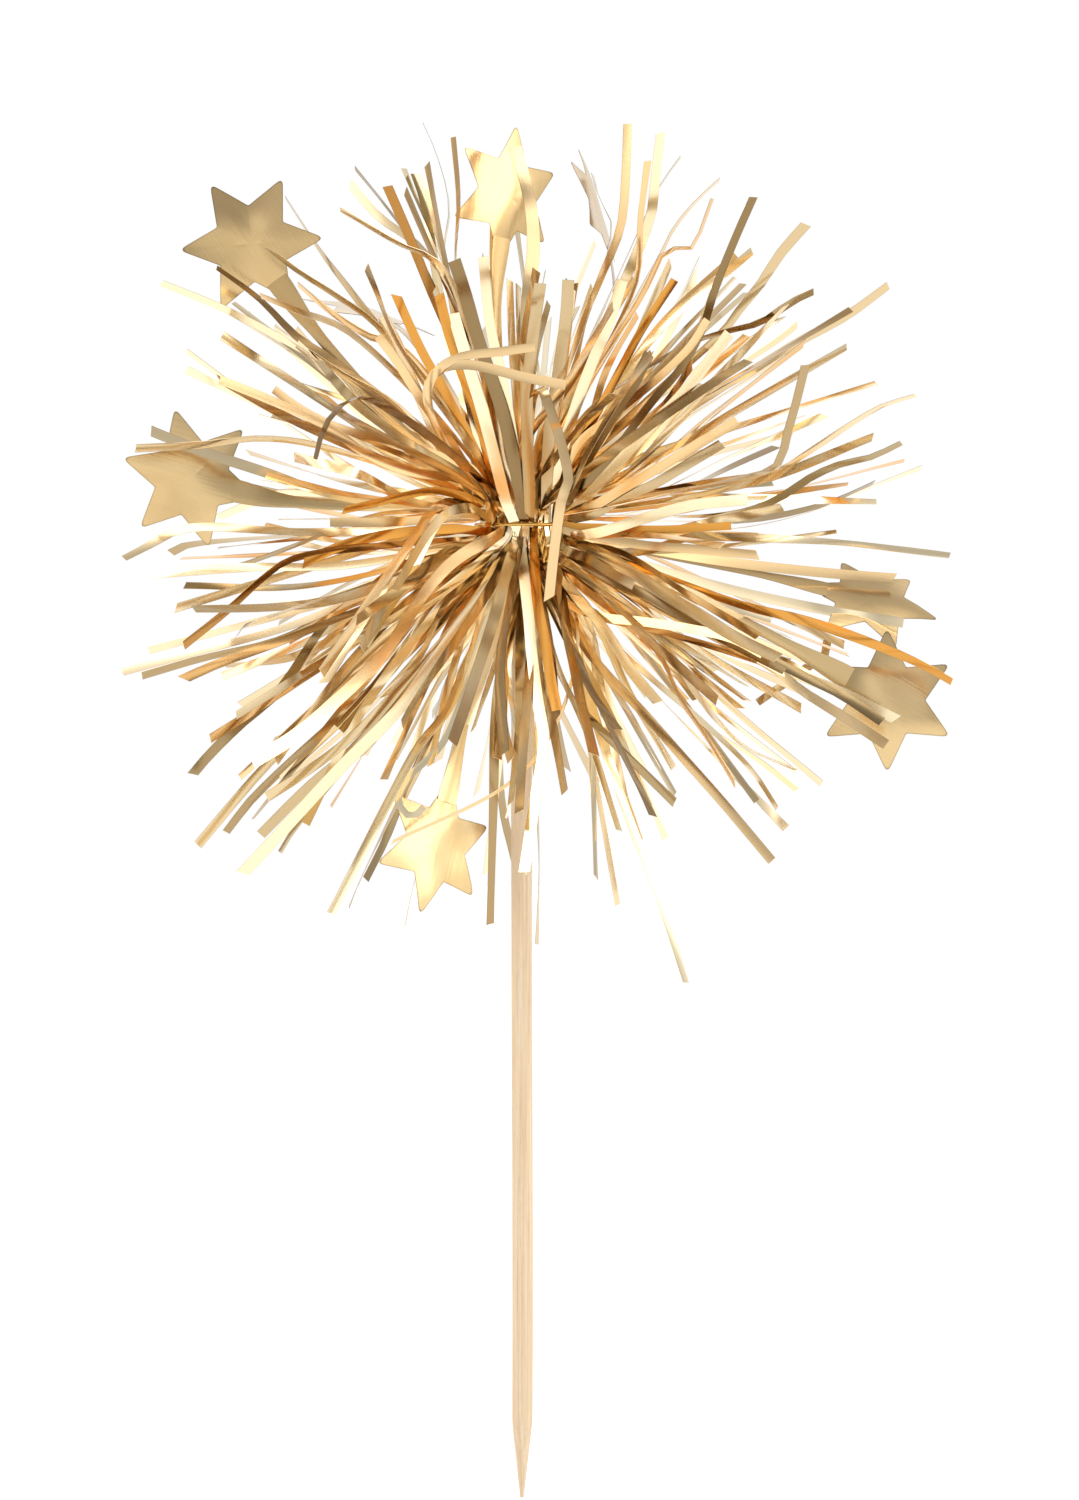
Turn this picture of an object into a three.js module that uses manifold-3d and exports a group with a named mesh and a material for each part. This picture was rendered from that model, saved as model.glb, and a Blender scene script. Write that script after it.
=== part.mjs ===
import * as THREE from "three";
import { mergeVertices } from "three/addons/utils/BufferGeometryUtils.js";
import Module from "manifold-3d";

// A foil burst on a wooden pick. Lengths are in millimetres. The origin is the sharp end of the
// pick, +Z runs up the pick, -Y is the front and +X is the right.

// Pick
const pickDiameter = 2.4;
const pickPointLength = 9;
const pickTipDiameter = 0.4;
const pickHeadChamfer = 0.3;
const pickSides = 14;

// Height of the tie above the sharp end, and of the pick's head above the tie
const tieHeight = 112;
const pickHeadAboveTie = 3;

// Glue cap over the head of the pick, inside the knot
const glueWall = 0.5;
const glueDepthBelowTie = 2;

// Knot, the packed middle of the foil, which is drawn in at the tie
const knotWallAtTie = 2.1;
const knotHalfHeight = 6.6;
const knotShoulder = 0.45;
const strandSeat = 0.6;
const knotSides = 12;

// Foil: how thick, how wide when flat, and how narrow where it is gathered
const foilThickness = 0.12;
const foilWidth = 1.1;
const foilWidthAtTie = 0.7;
const foilEndPastTie = 1.5;
const foilWidthAtKnot = 0.36;
const foilWidensOver = 0.35; // share of its way over which a strip spreads to its full width

// Clearances
const seatGap = 0.3;
const sliceGap = 0.3;
const strandGap = 0.08;

// Tie wire, with its two ends twisted together
const wireDiameter = 0.4;
const wireSides = 6;
const twistRadius = 0.46;
const twistPitch = 2.6;
const twistLength = 4.2;
const twistStandOff = 0.5;

// Stars
const starRadius = 8.05;
const starNotchRadius = 4.4;
const starTipRound = 0.5;
const starFoldDegrees = 7;
const neckWidth = 2.7;
const neckLength = 9;

// Single strips and star strips leave the tie between these angles from level
const flattestLeaveDegrees = 14;
const steepestLeaveDegrees = 76;
const tipSearchDepth = 8;

// Strands of the burst
const strandCandidates = 645;
const strandRounds = 4;
const strandTipsApart = 4;
const seenReach = 46;
const seenShallowest = 7;
const seenDeepest = 32;
const mostForward = 0.8; // strands of an even spread lean no farther towards the front
const pickShownBelowTie = 32; // no strand hides the pick from the front lower than this
const strandStraight = 13;
const strandShortest = 28;
const strandLongest = 47;
const strandBendDegrees = 24;
const rootLowestDegrees = 22; // the roots keep this far above or below the level of the tie

// Worked out from the sizes above
const pickRadius = pickDiameter / 2;
const pickLength = tieHeight + pickHeadAboveTie;
const pickBore = pickRadius + seatGap;
const glueRadius = pickBore + glueWall;
const glueBore = glueRadius + seatGap;
const glueTop = pickHeadAboveTie + seatGap + glueWall;
const waistRadius = glueBore + knotWallAtTie;
const stripRadius = waistRadius + seatGap + foilThickness / 2;
const wireRadius = wireDiameter / 2;
const wireRingRadius = stripRadius + foilThickness / 2 + seatGap + wireRadius;
const gatheredClear = wireRadius + 2 * seatGap - foilThickness / 2;
const places = 21; // round the tie: twenty strips and the twisted wire ends
const twistPlace = 17;

// Stars and single strips, each held at one of the places round the tie. Points are taken from the
// middle of the tie. facing is square to the star, and neck points from its middle to its strip.
const stars = [
  { place: 11, centre: [-31.1, -3, 32.3], facing: [0, -1, 0], neck: [0.57, 0, -0.82] },
  { place: 9, centre: [-38.3, 14, 5.6], facing: [0, -1, 0], neck: [0.96, 0, -0.28] },
  { place: 6, centre: [-1.5, 9, 38.3], facing: [0.68, -0.73, 0], neck: [-0.26, 0, -0.96] },
  { place: 1, centre: [40.3, 12, -8.4], facing: [0.19, -0.59, 0.78], neck: [-0.97, 0, 0.24] },
  { place: 0, centre: [42.1, 2, -20.2], facing: [0, -1, 0], neck: [-0.87, 0, 0.5] },
  { place: 14, centre: [-9.7, -6, -36.8], facing: [0.68, -0.73, 0], neck: [0.33, 0, 0.94] },
  { place: 7, centre: [-17.7, 30, 25.4], facing: [0.29, -0.1, 0.95], neck: [0.4, -0.75, -0.2] },
  { place: 4, centre: [9, 20, 36.9], facing: [0.95, -0.1, 0.3], neck: [0, -0.3, -0.95] },
];
const singles = [
  { place: 2, tip: [42.4, 12, 27.9] },
  { place: 3, tip: [25.4, 16, 37.7] },
  { place: 5, tip: [-3.7, 13, -46.1] },
  { place: 8, tip: [-12.3, 12, 40.8] },
  { place: 10, tip: [-42.8, 4, 10.9] },
  { place: 12, tip: [-41.3, -9, 27.6] },
  { place: 13, tip: [-45.8, -10, -17] },
  { place: 15, tip: [-37.1, -12, -36.8] },
  { place: 16, tip: [12.1, -8, 45.9] },
  { place: 18, tip: [18.8, -8, -52.6] },
  { place: 19, tip: [45.1, -10, 14.7] },
  { place: 20, tip: [49.3, -8, -18.1] },
];

// Strips of the burst that show from the front, across and up from the tie: the tip of each, and
// the point where it bends if it isn't straight. The near ones lie in front of the pick, and the far
// ones behind it.
const nearStrips = [
  { tip: [-7.9, 44.5], bend: [-7.5, 28.2] },
  { tip: [-15.3, 38.3] },
  { tip: [-19.6, 38.7], bend: [-8.3, 27.1] },
  { tip: [-20.6, 35.5], bend: [-9.4, 29.4] },
  { tip: [-17.6, 28.8], bend: [-14.6, 21.3] },
  { tip: [-28.9, 31.3], bend: [-16.4, 22.5] },
  { tip: [-35, 29.4] },
  { tip: [-29.8, 25.9], bend: [-19.8, 21.9] },
  { tip: [-23, 18.2], bend: [-19.2, 13.8] },
  { tip: [-22.7, 14] },
  { tip: [-23.3, 6.9], bend: [-14, 12.1] },
  { tip: [-44.2, 8.6], bend: [-23.3, 9] },
  { tip: [-45.5, -4], bend: [-38.8, -0.6] },
  { tip: [-42.8, -5.9], bend: [-19.2, -4.6] },
  { tip: [-34.3, -5.4], bend: [-16.4, 1.2] },
  { tip: [-38.5, -14], bend: [-26.1, -4] },
  { tip: [-37.3, -9.9], bend: [-21, -8.6] },
  { tip: [-43.6, -17.4], bend: [-27.9, -13.2] },
  { tip: [-38.6, -17.8], bend: [-25.6, -12.7] },
  { tip: [-32.5, -13.2] },
  { tip: [-37.9, -28.7], bend: [-21, -9.8] },
  { tip: [-29.2, -31.3], bend: [-18.7, -23.6] },
  { tip: [-1.3, -32] },
  { tip: [-0.3, -32.9], bend: [0.9, -14.4] },
  { tip: [-13.5, -23] },
  { tip: [49.1, -3.6], bend: [9, -3.1] },
  { tip: [29.2, -32.6], bend: [11.3, -14.4] },
  { tip: [31.4, -28.2], bend: [25.1, -25.3] },
  { tip: [24.2, -29.7], bend: [15.3, -14.4] },
  { tip: [17.4, -31.9], bend: [5.5, -19.6] },
  { tip: [14.9, -33.4] },
  { tip: [10.9, -23.6], bend: [7.8, -19] },
  { tip: [4.1, -22.2] },
  { tip: [41.8, -25.3] },
  { tip: [41.2, -22.7] },
  { tip: [15.9, 44.9], bend: [14.7, 35.1] },
  { tip: [14.4, 41.5], bend: [13, 27.6] },
  { tip: [21.9, 37.5], bend: [16.8, 31.7] },
  { tip: [32.6, 34.4], bend: [23.4, 22.5] },
  { tip: [33.3, 26.4], bend: [7.8, 13.2] },
  { tip: [25.7, 18.2] },
  { tip: [14.7, 19], bend: [7.8, 8.6] },
  { tip: [32.2, 17.8], bend: [29.1, 6.6] },
  { tip: [43.5, 9.3], bend: [26.3, 1.7] },
];
const farStrips = [
  { tip: [-11.3, 46.2], bend: [-9.1, 29.4] },
  { tip: [-19.2, 41.1], bend: [-12.9, 32.8] },
  { tip: [-27.3, 37.8] },
  { tip: [-26, 28.1], bend: [-14, 20.7] },
  { tip: [-26.3, 22.9] },
  { tip: [-31.1, 4.7] },
  { tip: [-30.2, 5.5] },
  { tip: [-35.4, 1.2], bend: [-27.9, 4] },
  { tip: [-41, -2.9] },
  { tip: [-30.4, -8.6], bend: [-24.4, -8.4] },
  { tip: [-34.8, -16.1], bend: [-26.4, -15] },
  { tip: [-32.7, -20.7] },
  { tip: [-29, -24.8] },
  { tip: [-34.2, -35.4] },
  { tip: [-30.2, -35.7], bend: [-18.7, -24.8] },
  { tip: [-27.9, -37.7] },
  { tip: [-20, -44.1] },
  { tip: [-18.1, -40.9] },
  { tip: [-13.6, -46.4] },
  { tip: [1.7, -48.4] },
  { tip: [-1, -38.6], bend: [-2.5, -30.5] },
  { tip: [31.8, -30.5], bend: [20.5, -22.5] },
  { tip: [5.3, -28.2] },
  { tip: [27.4, -20.4] },
  { tip: [18.3, 42.6], bend: [14.5, 36.3] },
  { tip: [22.9, 40.2], bend: [17.6, 34.5] },
  { tip: [8.2, 41] },
  { tip: [20.5, 31.4], bend: [17.3, 24.8] },
  { tip: [32, 23.6] },
  { tip: [38, 25] },
  { tip: [29.7, 9.6], bend: [13.6, 1.7] },
  { tip: [46.1, 6.7], bend: [22.8, -0.6] },
  { tip: [40.9, 5.2], bend: [25.1, 0.6] },
];
// Strips that come right to the front, over the tie and curling across the rest
const frontStrips = [
  { tip: [3.1, -22, -8.7], bend: [5.2, -22.6, 4.6] },
  { tip: [1.5, -26, 19.9], bend: [-9.2, -24, 17.6] },
  { tip: [5, -28, 15.5], bend: [-10.9, -23, 15.4] },
  { tip: [-7.8, -17.9, 23.8], bend: [-2.8, -8.5, 6.3] },
  { tip: [-7.7, -16.9, 29.9], bend: [-1.2, -8.3, 8.6] },
  { tip: [-4.4, -16.9, 30.3], bend: [-4, -15.2, 25.9] },
  { tip: [2.1, -21.8, 27.1], bend: [0.6, -13.8, 14.4] },
  { tip: [5.3, -18, 27.6], bend: [3, -8.3, 8.1] },
  { tip: [11.5, -16.9, 27.6], bend: [5.1, -8.8, 10] },
  { tip: [14.5, -19.5, 19.1], bend: [7.4, -9.3, 7.3] },
  { tip: [17.4, -17.2, 27.6], bend: [11.1, -11.6, 17.3] },
  { tip: [21.1, -19.2, 23], bend: [5.5, -7.3, 7.5] },
  { tip: [23.5, -23.5, 21.3], bend: [17.7, -17.2, 14] },
  { tip: [24.5, -17.5, 11.5], bend: [8.1, -6.4, 2] },
  { tip: [22.8, -13.5, 9], bend: [8.4, -5.7, 1.2] },
  { tip: [26.4, -15.2, 37.1], bend: [18.2, -9.5, 17.8] },
  { tip: [-14.3, -17.2, 25.9], bend: [-12.8, -15.5, 22.5] },
  { tip: [-15.8, -14.4, 23.6], bend: [-7.7, -6.5, 5.8] },
  { tip: [-9.4, -19.3, 25.9], bend: [-3.5, -8.2, 6.3] },
  { tip: [-16.4, -15.2, 21.3], bend: [-6.2, -7.2, 6.3] },
  { tip: [-34.2, -26.8, 16], bend: [-18.1, -15.8, 8.1] },
  { tip: [-28.2, -19.2, 15.1], bend: [-6.6, -7.8, 6.3] },
  { tip: [-20.4, -12.8, 1.5], bend: [-10, -8.5, 3.8] },
  { tip: [-18.1, -20, -14.4], bend: [-8.3, -9.8, 1.3] },
  { tip: [-22.7, -18.5, -17.2], bend: [-10.4, -7.7, 1.4] },
  { tip: [-30.5, -26.6, -27.3], bend: [-25.6, -23.5, -24.2] },
  { tip: [-31.9, -12.8, -40], bend: [-11.2, -8.1, -17.3] },
  { tip: [-7.9, -21.9, -25.1], bend: [-5.8, -17.7, -19] },
  { tip: [-21.8, -12.7, -44.6], bend: [-6.9, -7.8, -17.8] },
  { tip: [-6.2, -16.8, -23], bend: [-1.6, -8.7, -7.5] },
  { tip: [-2, -18.9, -26.3], bend: [-2.3, -12.3, -13.8] },
  { tip: [0.3, -28.9, -39.7], bend: [2.5, -19.9, -24.8] },
  { tip: [4, -20.7, -21.4], bend: [1.8, -11.6, -9.2] },
  { tip: [8.2, -18.1, -26.4], bend: [5.2, -10.5, -12.7] },
  { tip: [29.1, -22.2, -15.5], bend: [7.3, -6.9, -2.5] },
  { tip: [29.9, -18.7, -16.9], bend: [7.3, -5.9, -4.6] },
  { tip: [27.4, -18.9, -15], bend: [6.1, -8.4, -8.6] },
  { tip: [12.7, -14.2, -7.1], bend: [7.6, -9.3, -4] },
  { tip: [25.7, -15.5, 2.6], bend: [19.3, -12, 2] },
  { tip: [15.5, -18.1, -20.5], bend: [6.7, -9.6, -8.9] },
  { tip: [28.6, -11.7, -38.6], bend: [6.7, -6.2, -13.2] },
];

const up = new THREE.Vector3(0, 0, 1);
const front = new THREE.Vector3(0, -1, 0);
const degree = Math.PI / 180;

const wasm = await Module();
wasm.setup();

// Repeatable random numbers from 0 to 1
let randomState = 20;
function random() {
  randomState = (randomState + 0x6d2b79f5) | 0;
  let value = Math.imul(randomState ^ (randomState >>> 15), 1 | randomState);
  value = (value + Math.imul(value ^ (value >>> 7), 61 | value)) ^ value;
  return ((value ^ (value >>> 14)) >>> 0) / 4294967296;
}

const randomBetween = (low, high) => low + (high - low) * random();

function vector(list) {
  return new THREE.Vector3(...list);
}

// Shared vertices, no empty triangles, faces outwards
function closed(geometry) {
  geometry.deleteAttribute("normal");
  geometry.deleteAttribute("uv");
  const merged = mergeVertices(geometry, 1e-4);
  const position = merged.attributes.position;
  const corners = [0, 1, 2].map(() => new THREE.Vector3());
  const kept = [];
  let volume = 0;
  for (let i = 0; i < merged.index.count; i += 3) {
    const [a, b, c] = [0, 1, 2].map((n) => merged.index.getX(i + n));
    if (a === b || b === c || c === a) continue;
    [a, b, c].forEach((vertex, n) => corners[n].fromBufferAttribute(position, vertex));
    volume += corners[0].dot(corners[1].clone().cross(corners[2]));
    kept.push(a, b, c);
  }
  merged.setIndex(volume < 0 ? kept.reverse() : kept);
  return merged;
}

function toSolid(geometry) {
  return new wasm.Manifold(
    new wasm.Mesh({
      numProp: 3,
      vertProperties: geometry.attributes.position.array,
      triVerts: new Uint32Array(geometry.index.array),
    }),
  );
}

function toGeometry(solid) {
  const mesh = solid.getMesh();
  return new THREE.BufferGeometry()
    .setAttribute("position", new THREE.BufferAttribute(mesh.vertProperties, 3))
    .setIndex(new THREE.BufferAttribute(mesh.triVerts, 1));
}

// A turned shape about the Z axis, from its radius and height points
function turned(points, sides) {
  const profile = points.map(([radius, height]) => new THREE.Vector2(radius, height));
  return closed(new THREE.LatheGeometry(profile, sides).rotateX(Math.PI / 2));
}

// Joins rings of points, each with the same count, into one closed skin with a cap at each end
function skin(rings) {
  const count = rings[0].length;
  const index = [];
  for (let ring = 0; ring + 1 < rings.length; ring++) {
    for (let n = 0; n < count; n++) {
      const a = ring * count + n;
      const b = ring * count + ((n + 1) % count);
      index.push(a, b, b + count, a, b + count, a + count);
    }
  }
  const last = (rings.length - 1) * count;
  for (let n = 1; n + 1 < count; n++) {
    index.push(0, n + 1, n, last, last + n, last + n + 1);
  }
  return surface(rings.flat(), index);
}

function surface(vertices, index) {
  return closed(new THREE.BufferGeometry().setFromPoints(vertices).setIndex(index));
}

function directionsAlong(points) {
  return points.map((point, n) => {
    const before = points[Math.max(n - 1, 0)];
    const after = points[Math.min(n + 1, points.length - 1)];
    return after.clone().sub(before).normalize();
  });
}

// Sections of foil as shares of half its width and half its thickness: a flat strip, and a strand
// creased along its middle
const flatSection = [[-1, -1], [1, -1], [1, 1], [-1, 1]];
const creasedSection = [[-1, -1], [1, -1], [0, 1]];

// Foil swept along a path of { at, across, width }
function foilAlong(path, section) {
  const directions = directionsAlong(path.map((step) => step.at));
  const rings = path.map(({ at, across, width }, n) => {
    const side = across.clone().projectOnPlane(directions[n]).normalize();
    const face = directions[n].clone().cross(side);
    return section.map(([sideways, outwards]) =>
      at
        .clone()
        .addScaledVector(side, (sideways * width) / 2)
        .addScaledVector(face, (outwards * foilThickness) / 2),
    );
  });
  return skin(rings);
}

// Everything placed so far, as rods with a radius and as flat discs
const rods = [];
const discs = [];

// A stretch that widens is split, so that each rod is about as thick as the strip is wide there
function rodsOf(path) {
  const found = [];
  path.slice(1).forEach((step, n) => {
    const from = path[n];
    const pieces = Math.abs(step.width - from.width) > foilWidthAtKnot ? 6 : 1;
    const whole = new THREE.Line3(from.at, step.at);
    for (let piece = 0; piece < pieces; piece++) {
      const ends = [piece / pieces, (piece + 1) / pieces];
      const widths = ends.map((share) => THREE.MathUtils.lerp(from.width, step.width, share));
      const line = new THREE.Line3(...ends.map((share) => whole.at(share, new THREE.Vector3())));
      found.push({ line, radius: Math.max(...widths) / 2 });
    }
  });
  return found;
}

const nearest = new THREE.Vector3();
const other = new THREE.Vector3();

function rodIsClear(rod, gap) {
  const meets = rods.some((placed) => {
    const reach = rod.radius + placed.radius + gap;
    return rod.line.distanceSqToLine3(placed.line, nearest, other) < reach * reach;
  });
  if (meets) return false;
  const steps = Math.ceil(rod.line.distance());
  return !discs.some((disc) => {
    for (let n = 0; n <= steps; n++) {
      const offset = rod.line.at(n / steps, nearest).sub(disc.centre);
      const height = offset.dot(disc.facing);
      const spread = offset.addScaledVector(disc.facing, -height).length();
      const deep = Math.abs(height) < disc.depth + rod.radius + gap;
      if (deep && spread < disc.radius + rod.radius + gap) return true;
    }
    return false;
  });
}

const isClear = (path, gap) => rodsOf(path).every((rod) => rodIsClear(rod, gap));

// The first of some tries that clears what is placed, or the last try if none does
function place(makePath, tries, gap) {
  let path = makePath(0);
  for (let n = 1; n < tries && !isClear(path, gap); n++) path = makePath(n);
  return path;
}

function keep(path) {
  rods.push(...rodsOf(path));
  return path;
}

const placeAngle = (number) => (number * 2 * Math.PI) / places;

// A point beside the tie, at an angle round it
function besideTie(angle, radius, height) {
  return new THREE.Vector3(radius * Math.cos(angle), radius * Math.sin(angle), height);
}

// The part of a strip that the tie holds, from its short end to where it leaves the groove. side is
// 1 for a strip that leaves upwards and -1 for one that leaves downwards.
function gathered(angle, side) {
  const across = new THREE.Vector3(-Math.sin(angle), Math.cos(angle), 0);
  const lean = foilThickness / 2;
  const stations = [
    [stripRadius + 2 * lean, -side * foilEndPastTie],
    [stripRadius + lean, -side * gatheredClear],
    [stripRadius, 0],
    [stripRadius + lean, side * gatheredClear],
  ];
  return stations.map(([radius, height]) => ({
    at: besideTie(angle, radius, height),
    across,
    width: foilWidthAtTie,
  }));
}

// The curve from the groove to a far point that it reaches along the direction arrive
function curveFrom(start, angle, far, arrive) {
  const chord = far.clone().sub(start);
  const level = Math.hypot(chord.x, chord.y);
  const flattest = flattestLeaveDegrees * degree;
  const steepest = steepestLeaveDegrees * degree;
  const rise = THREE.MathUtils.clamp(Math.atan2(Math.abs(chord.z), level), flattest, steepest);
  const leave = besideTie(angle, Math.cos(rise), Math.sign(chord.z) * Math.sin(rise));
  const pull = chord.length() / 3;
  return new THREE.CubicBezierCurve3(
    start,
    start.clone().addScaledVector(leave, pull),
    far.clone().addScaledVector(arrive, -pull),
    far,
  );
}

// Samples a curve into strip steps whose crosswise direction turns from one to another
function stepsAlong(curve, count, acrossStart, acrossEnd, widthAt) {
  const end = acrossEnd.clone();
  if (end.dot(acrossStart) < 0) end.negate();
  const steps = [];
  for (let n = 1; n <= count; n++) {
    const share = n / count;
    steps.push({
      at: curve.getPoint(share),
      across: acrossStart.clone().lerp(end, share),
      width: widthAt(share),
    });
  }
  return steps;
}

// Width of a strip after a share of its way from the tie
function plainWidth(share) {
  return THREE.MathUtils.lerp(foilWidthAtTie, foilWidth, Math.min(share / foilWidensOver, 1));
}

const singleSteps = 9;
const singleTries = 80;

function singlePath({ place: number, tip }) {
  const angle = placeAngle(number);
  const start = gathered(angle, Math.sign(tip[2]));
  const leaving = start[start.length - 1];
  return (attempt) => {
    const loose = attempt / singleTries;
    const depth = tipSearchDepth * loose * randomBetween(-1, 1);
    const far = vector(tip).add(new THREE.Vector3(0, depth, 0));
    const outwards = far.clone().sub(leaving.at).normalize();
    const droop = randomBetween(-0.2, 0.12 + 0.2 * loose);
    const arrive = outwards.clone().addScaledVector(up, -droop).normalize();
    const curve = curveFrom(leaving.at, angle, far, arrive);
    const acrossTip = arrive.clone().cross(front).applyAxisAngle(arrive, randomBetween(-0.5, 0.5));
    return [...start, ...stepsAlong(curve, singleSteps, leaving.across, acrossTip, plainWidth)];
  };
}

const starSteps = 9;

// The outline of a star from its outer tip round to its neck, on one side, as [along, across]
function halfStarOutline() {
  const point = (radius, turn) => [radius * Math.cos(turn), radius * Math.sin(turn)];
  const outline = [];
  for (let arm = 0; arm < 3; arm++) {
    const middle = arm * 60 * degree;
    const round = starTipRound / 2;
    const [along, across] = point(starRadius - round, middle);
    const lean = point(round, middle + 90 * degree);
    if (arm > 0) outline.push([along - lean[0], across - lean[1]]);
    outline.push([along + lean[0], across + lean[1]]);
    outline.push(point(starNotchRadius, middle + 30 * degree));
  }
  const [notchAlong, notchAcross] = outline[outline.length - 1];
  const share = 1 - neckWidth / 2 / notchAcross;
  outline.push([
    THREE.MathUtils.lerp(notchAlong, -starRadius, share),
    neckWidth / 2,
  ]);
  return outline;
}

// A star and its strip in one skin. The star is a fan about its middle, folded along its axis, and
// the strip's rings of six points start at the star's neck.
function starGeometry(star, path) {
  const outline = halfStarOutline();
  const fold = Math.tan(starFoldDegrees * degree);
  const { centre, facing, outwards, sideways } = star;
  const flat = ([along, across], face) =>
    centre
      .clone()
      .addScaledVector(outwards, along)
      .addScaledVector(sideways, across)
      .addScaledVector(facing, -Math.abs(across) * fold + (face * foilThickness) / 2);
  const neck = outline[outline.length - 1];
  const mirrored = outline.map(([along, across]) => [along, -across]).reverse();
  const rim = [[starRadius, 0], ...outline, [neck[0], 0], ...mirrored];
  const neckAt = outline.length + 1;

  const vertices = [];
  const index = [];
  for (const face of [1, -1]) {
    vertices.push(flat([0, 0], face), ...rim.map((point) => flat(point, face)));
  }
  const layer = rim.length + 1;
  for (let n = 0; n < rim.length; n++) {
    const a = 1 + n;
    const b = 1 + ((n + 1) % rim.length);
    index.push(0, a, b, layer, layer + b, layer + a);
    const atNeck = n === neckAt - 1 || n === neckAt;
    if (!atNeck) index.push(a, a + layer, b + layer, a, b + layer, b);
  }

  const directions = directionsAlong([star.neckAt, ...path.map((step) => step.at)]).slice(1);
  const rings = path.map(({ at, across, width, crease }, n) => {
    const side = across.clone().projectOnPlane(directions[n]).normalize();
    const face = side.clone().cross(directions[n]).normalize();
    const ring = [];
    for (const layerSide of [1, -1]) {
      for (const edge of [1, 0, -1]) {
        ring.push(
          at
            .clone()
            .addScaledVector(side, ((edge * width) / 2) * layerSide)
            .addScaledVector(face, (layerSide * foilThickness) / 2 - Math.abs(edge) * crease),
        );
      }
    }
    return ring;
  });
  const count = 6;
  const neckRing = [neckAt, neckAt + 1, neckAt + 2];
  const firstRing = [...neckRing, ...neckRing.map((n) => n + layer).reverse()];
  const offset = vertices.length;
  vertices.push(...rings.flat());
  const ringIndex = (ring, n) => (ring < 0 ? firstRing[n] : offset + ring * count + n);
  for (let ring = -1; ring + 1 < rings.length; ring++) {
    for (let n = 0; n < count; n++) {
      const a = ringIndex(ring, n);
      const b = ringIndex(ring, (n + 1) % count);
      const c = ringIndex(ring + 1, (n + 1) % count);
      const d = ringIndex(ring + 1, n);
      index.push(a, d, c, a, c, b);
    }
  }
  const last = offset + (rings.length - 1) * count;
  index.push(last, last + 5, last + 4, last, last + 4, last + 1);
  index.push(last + 1, last + 4, last + 3, last + 1, last + 3, last + 2);
  return surface(vertices, index);
}

// Where a star lies, and the path of its strip from the neck back to the tie
function starPath({ place: number, centre, facing, neck }) {
  const angle = placeAngle(number);
  const middle = vector(centre);
  const square = vector(facing).normalize();
  const inwards = vector(neck).projectOnPlane(square).normalize();
  const outwards = inwards.clone().negate();
  const sideways = square.clone().cross(outwards);
  const outline = halfStarOutline();
  const neckAlong = outline[outline.length - 1][0];
  const neckAt = middle.clone().addScaledVector(outwards, neckAlong);
  const start = gathered(angle, Math.sign(centre[2]));
  const leaving = start[start.length - 1];
  const curve = curveFrom(leaving.at, angle, neckAt, outwards);
  const length = curve.getLength();
  const widthAt = (share) => {
    const toNeck = ((1 - share) * length) / neckLength;
    const spread = THREE.MathUtils.smoothstep(toNeck, 0, 1);
    return THREE.MathUtils.lerp(neckWidth, plainWidth(share), spread);
  };
  const outgoing = stepsAlong(curve, starSteps, leaving.across, sideways, widthAt).slice(0, -1);
  const steps = [...start, ...outgoing].map((step) => ({
    ...step,
    crease: (Math.max(step.width - foilWidth, 0) / 2) * Math.tan(starFoldDegrees * degree),
  }));
  return {
    path: steps.reverse(),
    star: { centre: middle, facing: square, outwards, sideways, neckAt },
  };
}

// Turns the crosswise directions of a star's strip to one hand, from the star to the tie
function matchHands({ star, path }) {
  let previous = star.sideways;
  path.forEach((step) => {
    if (step.across.dot(previous) < 0) step.across = step.across.clone().negate();
    previous = step.across;
  });
}

// The wire runs round the tie, and its two ends twist round each other and point down in front
function tieWirePoints() {
  const angle = placeAngle(twistPlace);
  const axis = besideTie(angle, 0.42, -0.91).normalize();
  const tangent = besideTie(angle + Math.PI / 2, 1, 0);
  const third = axis.clone().cross(tangent);
  const openAngle = (1.6 * twistRadius) / wireRingRadius; // from the twist to where the ring begins
  const root = besideTie(angle, wireRingRadius + twistStandOff, -twistStandOff);
  const twistSteps = 14;
  const end = (hand) => {
    const points = [];
    for (let n = 0; n <= twistSteps; n++) {
      const along = (twistLength * n) / twistSteps;
      const turn = (2 * Math.PI * along) / twistPitch;
      points.push(
        root
          .clone()
          .addScaledVector(axis, along)
          .addScaledVector(tangent, hand * twistRadius * Math.cos(turn))
          .addScaledVector(third, hand * twistRadius * Math.sin(turn)),
      );
    }
    return points;
  };
  const ring = [];
  const ringSteps = 24;
  const sweep = 2 * Math.PI - 2 * openAngle;
  for (let n = 0; n <= ringSteps; n++) {
    ring.push(besideTie(angle + openAngle + (sweep * n) / ringSteps, wireRingRadius, 0));
  }
  return [...end(1).reverse(), ...ring, ...end(-1)];
}

// Least gap between stretches of a tube that lie more than four diameters apart along it
function leastGapToItself(points, diameter) {
  const lengths = [0];
  points.slice(1).forEach((point, n) => lengths.push(lengths[n] + point.distanceTo(points[n])));
  const own = 4 * diameter;
  let least = Infinity;
  points.forEach((point, a) => {
    points.slice(a + 1).forEach((next, n) => {
      if (lengths[a + 1 + n] - lengths[a] < own) return;
      least = Math.min(least, point.distanceTo(next) - diameter);
    });
  });
  return least;
}

// Radius and height of the knot's outer surface, above the tie
const knotProfile = [
  [waistRadius, 0],
  [waistRadius, gatheredClear * 0.75],
  [waistRadius + knotShoulder, knotHalfHeight * 0.5],
  [waistRadius - 2 * knotShoulder, knotHalfHeight * 0.85],
  [0, knotHalfHeight],
];

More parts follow.
